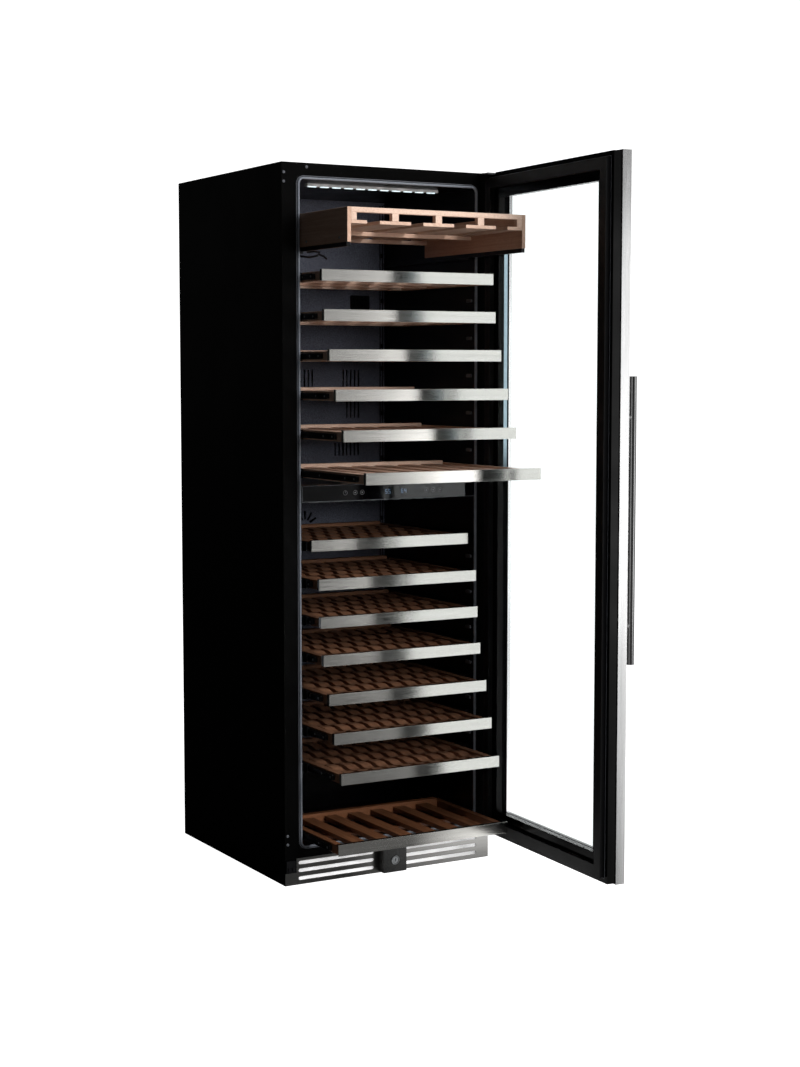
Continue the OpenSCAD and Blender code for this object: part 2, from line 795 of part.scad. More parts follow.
gasket_out = 17;
gasket_in = 43;
module door_gasket() {
    color([0.12, 0.12, 0.12]) place_door() door_ring(gasket_out, gasket_in, -door_gap, -lip_t - 0.3);
}

bar_x = -half_w + bar_inset;
bar_y = door_face - bar_out;
module handle_bar() {
    color(STEEL) place_door() translate([bar_x, bar_y, post_z - bar_l / 2]) cylinder(r = bar_r, h = bar_l);
}

module handle_posts() {
    color(STEEL) place_door() difference() {
        for (s = [-1, 1]) translate([bar_x, door_face, post_z + s * post_span / 2]) rotate([90, 0, 0])
            cylinder(r = post_r, h = bar_out);
        translate([bar_x, bar_y, post_z - bar_l / 2]) cylinder(r = bar_r + 0.02, h = bar_l);
    }
}

outer_shell();
back_cover();
base_tray();
insulation();
liner();
zone_divider();
control_fascia();
touch_keys();
led_bars();
duct_covers();
slide_channels();
evaporators();
fan_upper();
fan_lower();
compressor();
condenser();
condenser_fan();
mains_inlet();
kick_grille();
lock_housing();
lock_cylinder();
hinge_top();
hinge_bottom();
levelling_feet();
door_frame();
door_inner_frame();
door_glass();
door_gasket();
handle_bar();
handle_posts();
shelf_01_rack();
shelf_01_runners();
for (i = RACKS) {
    shelf_wood(i);
    shelf_steel(i);
}
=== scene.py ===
import math
import random

import bmesh
import bpy
from mathutils import Matrix, Vector
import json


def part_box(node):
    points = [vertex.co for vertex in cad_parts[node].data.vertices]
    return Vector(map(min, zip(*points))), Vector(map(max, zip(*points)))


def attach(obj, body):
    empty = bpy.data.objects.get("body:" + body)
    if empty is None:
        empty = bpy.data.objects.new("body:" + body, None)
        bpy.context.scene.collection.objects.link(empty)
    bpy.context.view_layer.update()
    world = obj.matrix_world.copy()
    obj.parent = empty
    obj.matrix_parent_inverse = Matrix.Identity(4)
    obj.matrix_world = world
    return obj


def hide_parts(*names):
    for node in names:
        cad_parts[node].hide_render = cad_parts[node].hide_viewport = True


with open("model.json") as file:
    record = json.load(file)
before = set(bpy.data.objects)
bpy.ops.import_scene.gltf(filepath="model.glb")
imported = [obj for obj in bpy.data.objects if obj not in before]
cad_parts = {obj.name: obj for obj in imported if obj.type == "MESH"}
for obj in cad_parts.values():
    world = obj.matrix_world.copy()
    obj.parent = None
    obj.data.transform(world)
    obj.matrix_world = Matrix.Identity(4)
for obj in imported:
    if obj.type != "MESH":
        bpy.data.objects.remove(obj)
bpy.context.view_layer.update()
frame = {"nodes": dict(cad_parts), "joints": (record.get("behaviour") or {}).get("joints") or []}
nodes = frame["nodes"]
mm = 0.001  # one millimetre: sizes below are in millimetres unless a line says otherwise
random.seed(15)


# small tools

def linearColour(hexText):
    # sRGB hex to the linear values that Blender's sockets take
    parts = [int(hexText[k:k + 2], 16) / 255 for k in (1, 3, 5)]
    return tuple(p / 12.92 if p <= 0.04045 else ((p + 0.055) / 1.055) ** 2.4 for p in parts) + (1.0,)


def addNode(tree, kind, settings=None, links=None):
    node = tree.nodes.new("ShaderNode" + kind)
    for name, value in (settings or {}).items():
        if isinstance(name, int) or name in node.inputs:
            node.inputs[name].default_value = value
        else:
            setattr(node, name, value)
    for name, socket in (links or {}).items():
        tree.links.new(socket, node.inputs[name])
    return node


def startMaterial(name, settings):
    material = bpy.data.materials.new(name)
    material.use_nodes = True
    tree = material.node_tree
    shader = tree.nodes["Principled BSDF"]
    for socket, value in settings.items():
        shader.inputs[socket].default_value = value
    return material, tree, shader


def noiseAt(tree, vector, acrossMm, alongMm=None, axis=None, detail=3.0, seed=0.0):
    # noise whose spots are acrossMm wide, drawn out to alongMm on one axis
    scales = [1000 / acrossMm] * 3
    if axis is not None:
        scales[axis] = 1000 / alongMm
    mapping = addNode(tree, "Mapping", {"Scale": scales, "Location": (seed, seed * 0.7, seed * 1.3)},
                      {"Vector": vector})
    return addNode(tree, "TexNoise", {"Scale": 1.0, "Detail": detail, "Roughness": 0.55},
                   {"Vector": mapping.outputs["Vector"]}).outputs["Fac"]


def blendColours(tree, factor, first, second):
    mix = addNode(tree, "Mix", {"data_type": "RGBA"}, {0: factor})
    for index, colour in ((6, first), (7, second)):
        if isinstance(colour, str):
            mix.inputs[index].default_value = linearColour(colour)
        else:
            tree.links.new(colour, mix.inputs[index])
    return mix.outputs[2]


def rangeOf(tree, value, low, high, fromLow=0.3, fromHigh=0.7):
    # value's stretch from fromLow to fromHigh becomes low to high
    limits = {"From Min": fromLow, "From Max": fromHigh, "To Min": low, "To Max": high}
    return addNode(tree, "MapRange", limits, {"Value": value}).outputs["Result"]


def addBump(tree, shader, height, depthMm, strength):
    bump = addNode(tree, "Bump", {"Strength": strength, "Distance": depthMm * mm}, {"Height": height})
    tree.links.new(bump.outputs["Normal"], shader.inputs["Normal"])


def placeOf(tree):
    return addNode(tree, "TexCoord").outputs["Object"]


# materials

def powderCoatedSteel(name, hexDark, hexLight, roughness, level):
    # sprayed and baked powder: a faint orange peel, 3 mm across, that softens every reflection
    material, tree, shader = startMaterial(name, {"Specular IOR Level": level, "IOR": 1.5})
    place = placeOf(tree)
    peel = noiseAt(tree, place, 3.0, detail=2.0)
    cloud = noiseAt(tree, place, 180.0)
    tree.links.new(blendColours(tree, cloud, hexDark, hexLight), shader.inputs["Base Color"])
    tree.links.new(rangeOf(tree, cloud, roughness - 0.04, roughness + 0.05), shader.inputs["Roughness"])
    addBump(tree, shader, peel, 0.05, 0.35)
    return material


def mouldedPlastic(name, hexDark, hexLight, roughness, grainMm, depthMm, level=0.5):
    # spark-eroded mould grain, drawn at grainMm so that it shows; it breaks the gloss into fine points
    material, tree, shader = startMaterial(name, {"Specular IOR Level": level, "IOR": 1.53})
    place = placeOf(tree)
    grain = noiseAt(tree, place, grainMm, detail=1.0)
    cloud = noiseAt(tree, place, 90.0)
    tree.links.new(blendColours(tree, rangeOf(tree, grain, 0, 1), hexDark, hexLight),
                   shader.inputs["Base Color"])
    tree.links.new(rangeOf(tree, cloud, roughness - 0.04, roughness + 0.06), shader.inputs["Roughness"])
    addBump(tree, shader, grain, depthMm, 0.5)
    return material


def brushedSteel(name, axis, hexDark, hexLight, roughness, anisotropic=0.6, gritMm=1.4):
    # belt-brushed stainless along one axis: hairlines 60 mm long; real grit is 0.2 mm, drawn wider to show
    material, tree, shader = startMaterial(name, {"Metallic": 1.0, "Anisotropic": anisotropic})
    place = placeOf(tree)
    hair = noiseAt(tree, place, gritMm, 60.0, axis, detail=4.0)
    smear = noiseAt(tree, place, 14.0, 420.0, axis, seed=3.0)
    mixed = addNode(tree, "Math", {"operation": "MULTIPLY_ADD", 1: 0.6}, {0: hair, 2: smear}).outputs[0]
    tree.links.new(blendColours(tree, rangeOf(tree, mixed, 0, 1, 0.45, 1.15), hexDark, hexLight),
                   shader.inputs["Base Color"])
    tree.links.new(rangeOf(tree, hair, roughness - 0.04, roughness + 0.06), shader.inputs["Roughness"])
    addBump(tree, shader, hair, 0.012, 0.15)
    if anisotropic:
        # the hairlines spread every reflection straight across them
        tangent = addNode(tree, "CombineXYZ", {"Z" if axis == 0 else "X": 1.0})
        tree.links.new(tangent.outputs["Vector"], shader.inputs["Tangent"])
    return material


def platedSteel(name, hexDark, hexLight, roughness):
    # zinc plating: a fine grey crystal bloom, 5 mm across
    material, tree, shader = startMaterial(name, {"Metallic": 1.0})
    place = placeOf(tree)
    bloom = noiseAt(tree, place, 5.0, detail=4.0)
    tree.links.new(blendColours(tree, rangeOf(tree, bloom, 0, 1), hexDark, hexLight),
                   shader.inputs["Base Color"])
    tree.links.new(rangeOf(tree, bloom, roughness - 0.05, roughness + 0.08), shader.inputs["Roughness"])
    addBump(tree, shader, bloom, 0.03, 0.3)
    return material


def oiledBeech(name, hexLight, hexDark, hexFleck, roughness=0.42):
    # sawn and oiled beech: growth lines 5 mm apart along each board, and short dark flecks 3 mm long
    material, tree, shader = startMaterial(name, {"Specular IOR Level": 0.35, "IOR": 1.5})
    board = addNode(tree, "UVMap", {"uv_map": "board"}).outputs["UV"]
    tone = addNode(tree, "Attribute", {"attribute_name": "tone"}).outputs["Fac"]
    growth = noiseAt(tree, board, 5.0, 260.0, 0, detail=5.0)
    pores = noiseAt(tree, board, 1.1, 18.0, 0, detail=2.0, seed=5.0)
    fleck = noiseAt(tree, board, 0.9, 3.2, 0, detail=0.0, seed=9.0)
    wide = noiseAt(tree, board, 28.0, 420.0, 0, seed=2.0)
    lines = addNode(tree, "Math", {"operation": "MULTIPLY_ADD", 1: 0.45}, {0: pores, 2: growth}).outputs[0]
    toned = addNode(tree, "Math", {"operation": "ADD"}, {0: lines, 1: tone}).outputs[0]
    body = blendColours(tree, rangeOf(tree, toned, 0, 1, 0.45, 1.35), hexLight, hexDark)
    shaded = blendColours(tree, rangeOf(tree, wide, 0, 0.35), body, hexDark)
    flecked = blendColours(tree, rangeOf(tree, fleck, 0, 0.5, 0.62, 0.72), shaded, hexFleck)
    tree.links.new(flecked, shader.inputs["Base Color"])
    tree.links.new(rangeOf(tree, lines, roughness - 0.06, roughness + 0.1, 0.5, 1.0),
                   shader.inputs["Roughness"])
    addBump(tree, shader, lines, 0.12, 0.35)
    return material


def floatGlass():
    # polished float glass, clear with a trace of green; only faint wipe marks change its gloss
    # its IOR is far below real glass (1.52), so that both panes stay clear
    settings = {"Base Color": linearColour("#fdffff"), "Transmission Weight": 1.0, "IOR": 1.12}
    material, tree, shader = startMaterial("float_glass_polished", settings)
    wipe = noiseAt(tree, placeOf(tree), 60.0, 300.0, 2)
    tree.links.new(rangeOf(tree, wipe, 0.0, 0.015), shader.inputs["Roughness"])
    return material


def glossAcrylic(name, hexColour, roughness=0.05):
    # cast acrylic, back-printed: near mirror gloss over a deep black, with the faintest flow waves
    material, tree, shader = startMaterial(name, {"IOR": 1.49, "Coat Weight": 0.3, "Coat Roughness": 0.03})
    place = placeOf(tree)
    flow = noiseAt(tree, place, 45.0, detail=1.0)
    tree.links.new(blendColours(tree, flow, "#020203", hexColour), shader.inputs["Base Color"])
    tree.links.new(rangeOf(tree, flow, roughness, roughness + 0.03), shader.inputs["Roughness"])
    addBump(tree, shader, flow, 0.05, 0.1)
    return material


def litPlastic(name, hexColour, strength, lineMm):
    # opal plastic lit from behind, or a white part given a painted glow so that it looks lit: soft spots of
    # light lineMm across
    material, tree, shader = startMaterial(name, {"Emission Color": linearColour(hexColour),
                                                  "Roughness": 0.35, "IOR": 1.49})
    spots = noiseAt(tree, placeOf(tree), lineMm, detail=0.0)
    tree.links.new(blendColours(tree, spots, hexColour, "#ffffff"), shader.inputs["Base Color"])
    tree.links.new(rangeOf(tree, spots, strength * 0.8, strength * 1.2), shader.inputs["Emission Strength"])
    return material


def blownFoam():
    # polyurethane foam blown in place: pale yellow cells, 4 mm across
    material, tree, shader = startMaterial("polyurethane_foam_blown", {"Roughness": 0.9})
    cells = noiseAt(tree, placeOf(tree), 4.0)
    tree.links.new(blendColours(tree, cells, "#cdbb7a", "#efe3b0"), shader.inputs["Base Color"])
    addBump(tree, shader, cells, 0.6, 0.6)
    return material


# heights in metres where the spacer bar's painted reflection starts and stops
spacerPlan = {"black": "#060708", "reflectionFrom": 1.0, "reflectionTo": 1.1, "darkFrom": 1.58, "darkTo": 1.62}


def splitSpacer():
    # anodised spacer bar with a painted reflection: pale blue between 1.05 and 1.6 m up, where it would mirror
    # the daylight, and near black elsewhere
    plan = spacerPlan
    material, tree, shader = startMaterial("aluminium_anodised_painted_reflection",
                                           {"Metallic": 1.0, "Roughness": 0.3})
    place = placeOf(tree)
    height = addNode(tree, "SeparateXYZ", links={"Vector": place}).outputs["Z"]
    bloom = noiseAt(tree, place, 5.0, detail=4.0)
    pale = blendColours(tree, bloom, "#8ba1ad", "#b5c9d2")
    reflectionShare = rangeOf(tree, height, 0, 1, plan["reflectionFrom"], plan["reflectionTo"])
    upper = blendColours(tree, reflectionShare, plan["black"], pale)
    darkShare = rangeOf(tree, height, 0, 1, plan["darkFrom"], plan["darkTo"])
    tree.links.new(blendColours(tree, darkShare, upper, plan["black"]), shader.inputs["Base Color"])
    return material


looks = {
    "cabinet": powderCoatedSteel("steel_powder_coated_black", "#030303", "#050505", 0.45, 0.07),
    "backPaint": powderCoatedSteel("steel_coil_coated_charcoal", "#1b1b1d", "#26272a", 0.46, 0.45),
    "enamel": powderCoatedSteel("steel_enamelled_black", "#08080a", "#101013", 0.22, 0.5),
    "ecoat": powderCoatedSteel("steel_e_coated_black", "#070708", "#0e0e10", 0.38, 0.3),
    "liner": mouldedPlastic("polystyrene_vacuum_formed_black", "#030304", "#070709", 0.38, 2.4, 0.05, 0.2),
    "moulding": mouldedPlastic("abs_moulded_black", "#08080a", "#111114", 0.36, 1.8, 0.05, 0.4),
    "doorFrame": mouldedPlastic("abs_moulded_gloss_black", "#020202", "#030303", 0.16, 3.5, 0.01, 0.12),
    "greyMoulding": mouldedPlastic("abs_moulded_grey", "#4d4f54", "#63666c", 0.4, 1.8, 0.04),
    # grey that stands in for the gloss on the black lip's rounded edge: a painted highlight
    "lipMoulding": mouldedPlastic("abs_moulded_lip_painted_highlight", "#666b74", "#82878f", 0.3, 2.4, 0.03),
    "duct": mouldedPlastic("abs_moulded_pebbled_slate", "#484b57", "#70737f", 0.5, 3.2, 0.3, 0.4),
    "rubber": mouldedPlastic("pvc_extruded_gasket_black", "#050506", "#0b0b0c", 0.5, 2.0, 0.05, 0.3),
    "fascia": glossAcrylic("acrylic_cast_black", "#060608"),
    "print": mouldedPlastic("ink_screen_printed_grey", "#8b8e92", "#a6a9ad", 0.5, 1.0, 0.01),
    "digit": litPlastic("led_digit_blue", "#2f78ad", 0.35, 2.0),
    "diffuser": litPlastic("led_diffuser_opal", "#6d7a80", 0.06, 24.0),
    "chip": litPlastic("led_chip_lit", "#dff6fa", 1.1, 6.0),
    "chipUnlit": mouldedPlastic("led_lens_opal", "#6f7678", "#82898b", 0.3, 3.0, 0.01),
    "trim": brushedSteel("stainless_brushed_along_x", 0, "#c6c4bf", "#d6d5d0", 0.17, 0.6),
    "grille": brushedSteel("stainless_brushed_grille", 0, "#868582", "#9e9d9b", 0.3, 0.4),
    "skin": brushedSteel("stainless_brushed_along_z", 2, "#bcbcbc", "#dcdcdc", 0.2, 0.0, 1.6),
    "bar": brushedSteel("stainless_polished_tube", 2, "#6e6e6e", "#989898", 0.13, 0.0, 1.6),
    "zinc": platedSteel("steel_zinc_plated", "#8d9092", "#b9bcbe", 0.34),
    "cast": platedSteel("zinc_cast_blasted_dark", "#4a4a4a", "#5e5e5d", 0.5),
    "fins": platedSteel("aluminium_rolled_fin", "#b4b8bc", "#dadde0", 0.3),
    "spacer": splitSpacer(),
    "louvre": litPlastic("steel_louvre_white_painted_glow", "#ececec", 0.55, 40.0),  # a painted glow: the white blades emit light so that they look lit
    "glass": floatGlass(),
    "foam": blownFoam(),
    # one oiled beech throughout; the dark and brown copies are the same wood darkened as painted shade for the
    # dimmer lower zone
    "beechUpper": oiledBeech("beech_oiled_light", "#ebcfbc", "#b98f76", "#94694f"),
    "beechLower": oiledBeech("beech_oiled_dark_painted_shade", "#a67a5e", "#604030", "#3e2619"),
    "beechFloor": oiledBeech("beech_oiled_brown_painted_shade", "#8c5d40", "#5d3a26", "#432818"),
}
print("materials:", len(looks))

nodeLooks = {
    "outer_shell": "cabinet", "back_cover": "backPaint", "base_tray": "cabinet", "insulation": "foam",
    "liner": "liner", "zone_divider": "liner", "control_fascia": "fascia", "touch_keys": "fascia",
    "led_bars": "diffuser", "duct_covers": "duct", "slide_channels": "ecoat", "evaporators": "fins",
    "fan_upper": "moulding", "fan_lower": "moulding", "compressor": "enamel", "condenser": "fins",
    "condenser_fan": "moulding", "mains_inlet": "moulding", "kick_grille": "grille", "lock_housing": "cast",
    "lock_cylinder": "zinc", "hinge_top": "zinc", "hinge_bottom": "zinc", "levelling_feet": "moulding",
    "door_frame": "skin", "door_inner_frame": "doorFrame", "door_glass": "glass", "door_gasket": "rubber",
    "handle_bar": "bar", "handle_posts": "bar", "shelf_01_runners": "ecoat",
}
for nodeName, look in nodeLooks.items():
    mesh = nodes[nodeName].data
    mesh.materials.clear()
    mesh.materials.append(looks[look])


# mesh tools, in millimetres

def boxMm(nodeName):
    low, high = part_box(nodeName)
    return low / mm, high / mm


def addBlock(bm, low, high):
    low, high = Vector(low), Vector(high)
    corners = [bm.verts.new((x, y, z)) for x in (low.x, high.x) for y in (low.y, high.y)
               for z in (low.z, high.z)]
    for a, b, c, d in ((0, 1, 3, 2), (4, 6, 7, 5), (0, 4, 5, 1), (2, 3, 7, 6), (0, 2, 6, 4), (1, 5, 7, 3)):
        bm.faces.new([corners[k] for k in (a, b, c, d)])
    return corners


def addPrism(bm, outline, shift):
    # outline is a closed loop of points, pushed along shift
    near = [bm.verts.new(p) for p in outline]
    far = [bm.verts.new(Vector(p) + Vector(shift)) for p in outline]
    count = len(near)
    bm.faces.new(near)
    bm.faces.new(far[::-1])
    for k in range(count):
        bm.faces.new((near[k], far[k], far[(k + 1) % count], near[(k + 1) % count]))
    return near + far


def addTube(bm, path, radius, sides=10, closed=False):
    # a round tube along the path's points
    points = [Vector(p) for p in path]
    count = len(points)
    rings = []
    side = None
    for k, point in enumerate(points):
        before = points[k - 1] if closed or k else point
        after = points[(k + 1) % count] if closed or k < count - 1 else point
        direction = (after - before).normalized()
        if side is None:
            side = direction.orthogonal().normalized()
        side = (side - direction * side.dot(direction)).normalized()
        up = direction.cross(side)
        rings.append([bm.verts.new(point + radius * (math.cos(a) * side + math.sin(a) * up))
                      for a in [2 * math.pi * s / sides for s in range(sides)]])
    pairs = count if closed else count - 1
    for k in range(pairs):
        near, far = rings[k], rings[(k + 1) % count]
        for s in range(sides):
            bm.faces.new((near[s], near[(s + 1) % sides], far[(s + 1) % sides], far[s]))
    if not closed:
        bm.faces.new(rings[0][::-1])
        bm.faces.new(rings[-1])


def addDome(bm, centre, normal, radius, height, sides=16, slot=False):
    # a low screw or plug head that stands on a surface, with a cross recess if slot is set
    turn = Vector((0, 0, 1)).rotation_difference(Vector(normal)).to_matrix()
    levels = [(1.0, 0.0), (1.0, 0.35), (0.85, 0.75), (0.5, 1.0)]  # shares of the radius and of the height
    angles = [2 * math.pi * s / sides for s in range(sides)]
    rings = []
    for r, h in levels:
        around = [Vector((radius * r * math.cos(a), radius * r * math.sin(a), height * h)) for a in angles]
        rings.append([bm.verts.new(Vector(centre) + turn @ point) for point in around])
    for near, far in zip(rings, rings[1:]):
        for s in range(sides):
            bm.faces.new((near[s], near[(s + 1) % sides], far[(s + 1) % sides], far[s]))
    bm.faces.new(rings[0][::-1])
    if slot:
        dip = bm.verts.new(Vector(centre) + turn @ Vector((0, 0, height * 0.35)))
        for s in range(sides):
            bm.faces.new((rings[-1][s], rings[-1][(s + 1) % sides], dip))
    else:
        bm.faces.new(rings[-1])


def roundedLoop(low, high, radius, steps=5):
    # points round a rectangle with round corners, as (u, v)
    points = []
    corners = ((high[0], high[1], 0), (low[0], high[1], 90), (low[0], low[1], 180), (high[0], low[1], 270))
    for u, v, start in corners:
        cu = u - radius if start in (0, 270) else u + radius
        cv = v - radius if start in (0, 90) else v + radius
        for k in range(steps + 1):
            a = math.radians(start + 90 * k / steps)
            points.append((cu + radius * math.cos(a), cv + radius * math.sin(a)))
    return points


def addRing(bm, x, y, z, radius, thick, steps=28, sides=6):
    # a round wire ring that faces the front
    angles = [2 * math.pi * k / steps for k in range(steps)]
    addTube(bm, [(x + radius * math.cos(a), y, z + radius * math.sin(a)) for a in angles], thick, sides, True)


def makePiece(name, bm, materials, body, bevelMm=0.0, turn=None):
    if turn is not None:
        bmesh.ops.transform(bm, matrix=turn, verts=bm.verts)
    bmesh.ops.recalc_face_normals(bm, faces=bm.faces)
    bmesh.ops.scale(bm, vec=(mm, mm, mm), verts=bm.verts)
    mesh = bpy.data.meshes.new(name)
    bm.to_mesh(mesh)
    bm.free()
    piece = bpy.data.objects.new(name, mesh)
    bpy.context.scene.collection.objects.link(piece)
    for look in [materials] if isinstance(materials, str) else materials:
        mesh.materials.append(looks[look])
    mesh.shade_smooth()
    mesh.set_sharp_from_angle(angle=math.radians(38))  # flatter folds than this stay smooth
    if bevelMm:
        bevel = piece.modifiers.new("edges", "BEVEL")
        bevel.width = bevelMm * mm
        bevel.segments = 2
        bevel.limit_method = "ANGLE"
        bevel.harden_normals = True
    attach(piece, body)
    return piece


# boards: every board carries its own grain direction, place in the log and tone

def startBoards():
    bm = bmesh.new()
    return {"bm": bm, "uv": bm.loops.layers.uv.new("board"), "tone": bm.verts.layers.float.new("tone")}


def markBoard(boards, verts, along, tone):
    shift = Vector((random.uniform(0, 9), random.uniform(0, 9)))
    boardTone = tone + random.uniform(-0.12, 0.12)
    others = [a for a in range(3) if a != along]
    for vert in verts:
        vert[boards["tone"]] = boardTone
        for loop in vert.link_loops:
            u = vert.co[along] * mm
            v = (vert.co[others[0]] + vert.co[others[1]]) * mm
            loop[boards["uv"]].uv = (u + shift.x, v + shift.y)


def addBoard(boards, low, high, along, tone=0.0):
    markBoard(boards, addBlock(boards["bm"], low, high), along, tone)


rackPlan = {
    "railWidth": 18, "frontRail": 14, "rearRail": 20, "slatLift": 9, "slatThick": 12, "wideSlats": 6,
    "wideWidth": 35, "narrowSlats": 10, "narrowWidth": 28, "battenHalf": 7, "cradlePitch": 88,
    "cradleDepth": 5, "cradleRadius": 70, "cradleSteps": 8, "sideHeight": 23, "backHeight": 29,
    "frontLift": 0.5, "edge": 1.4, "firstCradled": 8, "floorRack": 15,
}


def cradledOutline(x, y0, y1, z, thick):
    # the side of a narrow slat, whose top dips under each bottle
    pitch, depth, radius = rackPlan["cradlePitch"], rackPlan["cradleDepth"], rackPlan["cradleRadius"]
    length = y1 - y0
    count = int(length // pitch)
    first = (length - (count - 1) * pitch) / 2
    reach = math.sqrt(radius ** 2 - (radius - depth) ** 2)
    points = [(x, y0, z), (x, y0, z + thick)]
    for k in range(count):
        middle = y0 + first + k * pitch
        for step in range(rackPlan["cradleSteps"] + 1):
            y = middle + reach * (2 * step / rackPlan["cradleSteps"] - 1)
            dip = math.sqrt(max(radius ** 2 - (y - middle) ** 2, 0)) - (radius - depth)
            points.append((x, y, z + thick - dip))
    return points + [(x, y1, z + thick), (x, y1, z)]


def makeRackWood(number, look, tone):
    name = f"shelf_{number:02d}"
    low, high = boxMm(f"{name}_wood")
    plan = rackPlan
    x, y0, y1, z0 = high.x, low.y, high.y, low.z
    inner = x - plan["railWidth"]
    slatZ = z0 + plan["slatLift"]
    slatY = (y0, y1 - plan["rearRail"])
    boards = startBoards()
    for side in (-1, 1):
        edges = sorted((side * x, side * inner))
        addBoard(boards, (edges[0], y0, z0), (edges[1], y1, z0 + plan["sideHeight"]), 1, tone)
    addBoard(boards, (-inner, y0, z0 + plan["frontLift"]), (inner, y0 + plan["frontRail"], slatZ), 0,
             tone + 0.2)
    addBoard(boards, (-inner, slatY[1], z0), (inner, y1, z0 + plan["backHeight"]), 0, tone - 0.15)
    battens = 1 if number == plan["floorRack"] else 2
    for k in range(battens):
        middle = y0 + (k + 1) * (y1 - y0) / (battens + 1)
        addBoard(boards, (-inner, middle - plan["battenHalf"], z0),
                 (inner, middle + plan["battenHalf"], slatZ), 0, tone)
    if plan["firstCradled"] <= number < plan["floorRack"]:
        pitch = 2 * inner / plan["narrowSlats"]
        for k in range(plan["narrowSlats"]):
            left = -inner + (k + 0.5) * pitch - plan["narrowWidth"] / 2
            outline = cradledOutline(left, slatY[0], slatY[1], slatZ, plan["slatThick"])
            markBoard(boards, addPrism(boards["bm"], outline, (plan["narrowWidth"], 0, 0)), 1, tone)
    else:
        pitch = 2 * x / (plan["wideSlats"] + 1)
        for k in range(plan["wideSlats"]):
            left = -x + (k + 1) * pitch - plan["wideWidth"] / 2
            addBoard(boards, (left, slatY[0], slatZ),
                     (left + plan["wideWidth"], slatY[1], slatZ + plan["slatThick"]), 1, tone)
    piece = makePiece(f"{name}_boards", boards["bm"], look, name, plan["edge"])
    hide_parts(f"{name}_wood")


trimPlan = {
    "sheet": 1.5, "topReturn": 11.5, "lowReturn": 7, "lap": 4.5, "runnerStart": 42, "runnerHeight": 14,
    "runnerLift": 12, "runnerThick": 8.5, "webBack": 3, "runnerSet": 4, "groove": 4, "bumperLength": 22,
    "bumperHeight": 14, "bumperCorner": 3, "foldEnd": 2, "screwRadius": 3.2, "screwHeight": 1.2,
    "screwsAt": (60, 190), "edge": 0.35,
}


def makeTrim(number):
    name = f"shelf_{number:02d}"
    low, high = boxMm(f"{name}_steel")
    wood = boxMm(f"{name}_wood")[1]
    plan = trimPlan
    half = wood.x + plan["lap"]
    y, z0, z1, sheet = low.y, low.z, high.z, plan["sheet"]
    outline = [(-half, y, z0), (-half, y, z1), (-half, y + plan["topReturn"], z1),
               (-half, y + plan["topReturn"], z1 - sheet), (-half, y + sheet, z1 - sheet),
               (-half, y + sheet, z0 + sheet * 0.6), (-half, y + plan["lowReturn"] * 0.15 + sheet, z0)]
    bm = bmesh.new()
    addPrism(bm, outline, (2 * half, 0, 0))
    # the floor rack's end folds are short, so that they clear its slides' channels
    fold = z1 - plan["foldEnd"] if number == rackPlan["floorRack"] else z0 + 1
    for side in (-1, 1):
        edges = sorted((side * half, side * (half - sheet)))
        addBlock(bm, (edges[0], y + sheet, fold), (edges[1], y + plan["topReturn"], z1 - sheet))
    piece = makePiece(f"{name}_trim", bm, "trim", name, plan["edge"])
    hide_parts(f"{name}_steel")


def makeRunners(number):
    # the slide's moving member: a folded channel with a long groove, its front bumper and its screws
    name = f"shelf_{number:02d}"
    low = boxMm(f"{name}_steel")[0]
    wood = boxMm(f"{name}_wood")[1]
    plan = trimPlan
    x, z = wood.x, low.z + plan["runnerLift"]
    y0, y1 = low.y + plan["runnerStart"], wood.y
    half, thick, groove = plan["runnerHeight"] / 2, plan["runnerThick"], plan["groove"]
    web = thick - plan["webBack"]
    bumperEnd = y0 + plan["bumperLength"]
    bm = bmesh.new()
    for side in (-1, 1):
        profile = ((0, -half), (thick, -half), (thick, -groove), (web, -groove), (web, groove),
                   (thick, groove), (thick, half), (0, half))
        outline = [(side * (x + dx), y0 + plan["runnerSet"], z + dz) for dx, dz in profile]
        addPrism(bm, outline, (0, y1 - y0 - plan["runnerSet"], 0))
        tall = plan["bumperHeight"] / 2
        loop = roundedLoop((y0, z - tall), (bumperEnd, z + tall), plan["bumperCorner"], 3)
        addPrism(bm, [(side * x, u, v) for u, v in loop], (side * (thick - 1), 0, 0))
        for y in (y0 + plan["bumperLength"] / 2, *(y0 + at for at in plan["screwsAt"])):
            surface = thick - 1 if y < bumperEnd else web
            before = set(bm.faces)
            addDome(bm, (side * (x + surface), y, z), (side, 0, 0), plan["screwRadius"],
                    plan["screwHeight"], 12, True)
            for face in set(bm.faces) - before:
                face.material_index = 1  # the screws' own look
    makePiece(f"{name}_slides", bm, ["ecoat", "zinc"], name, 0.4)


# the lower and floor racks take the darker beech copies and a darker tone offset: painted shade of the lower
# zone
for number in range(2, 16):
    if number < rackPlan["firstCradled"]:
        makeRackWood(number, "beechUpper", 0.0)
    elif number < rackPlan["floorRack"]:
        makeRackWood(number, "beechLower", 0.1)
    else:
        makeRackWood(number, "beechFloor", 0.05)
    makeTrim(number)
    makeRunners(number)
print("racks done")


displayPlan = {
    "board": 10, "bar": 12, "barDepth": 16, "post": 18, "postDepth": 14, "floorLift": 43, "slatThick": 8,
    "slat": 85, "bays": 4, "batten": 14, "battenHeight": 10, "endPostExtra": 6, "edge": 0.8,
    "sideScrews": (40, 210, 380), "sideScrewLift": 12, "backScrews": (14, 62),
}


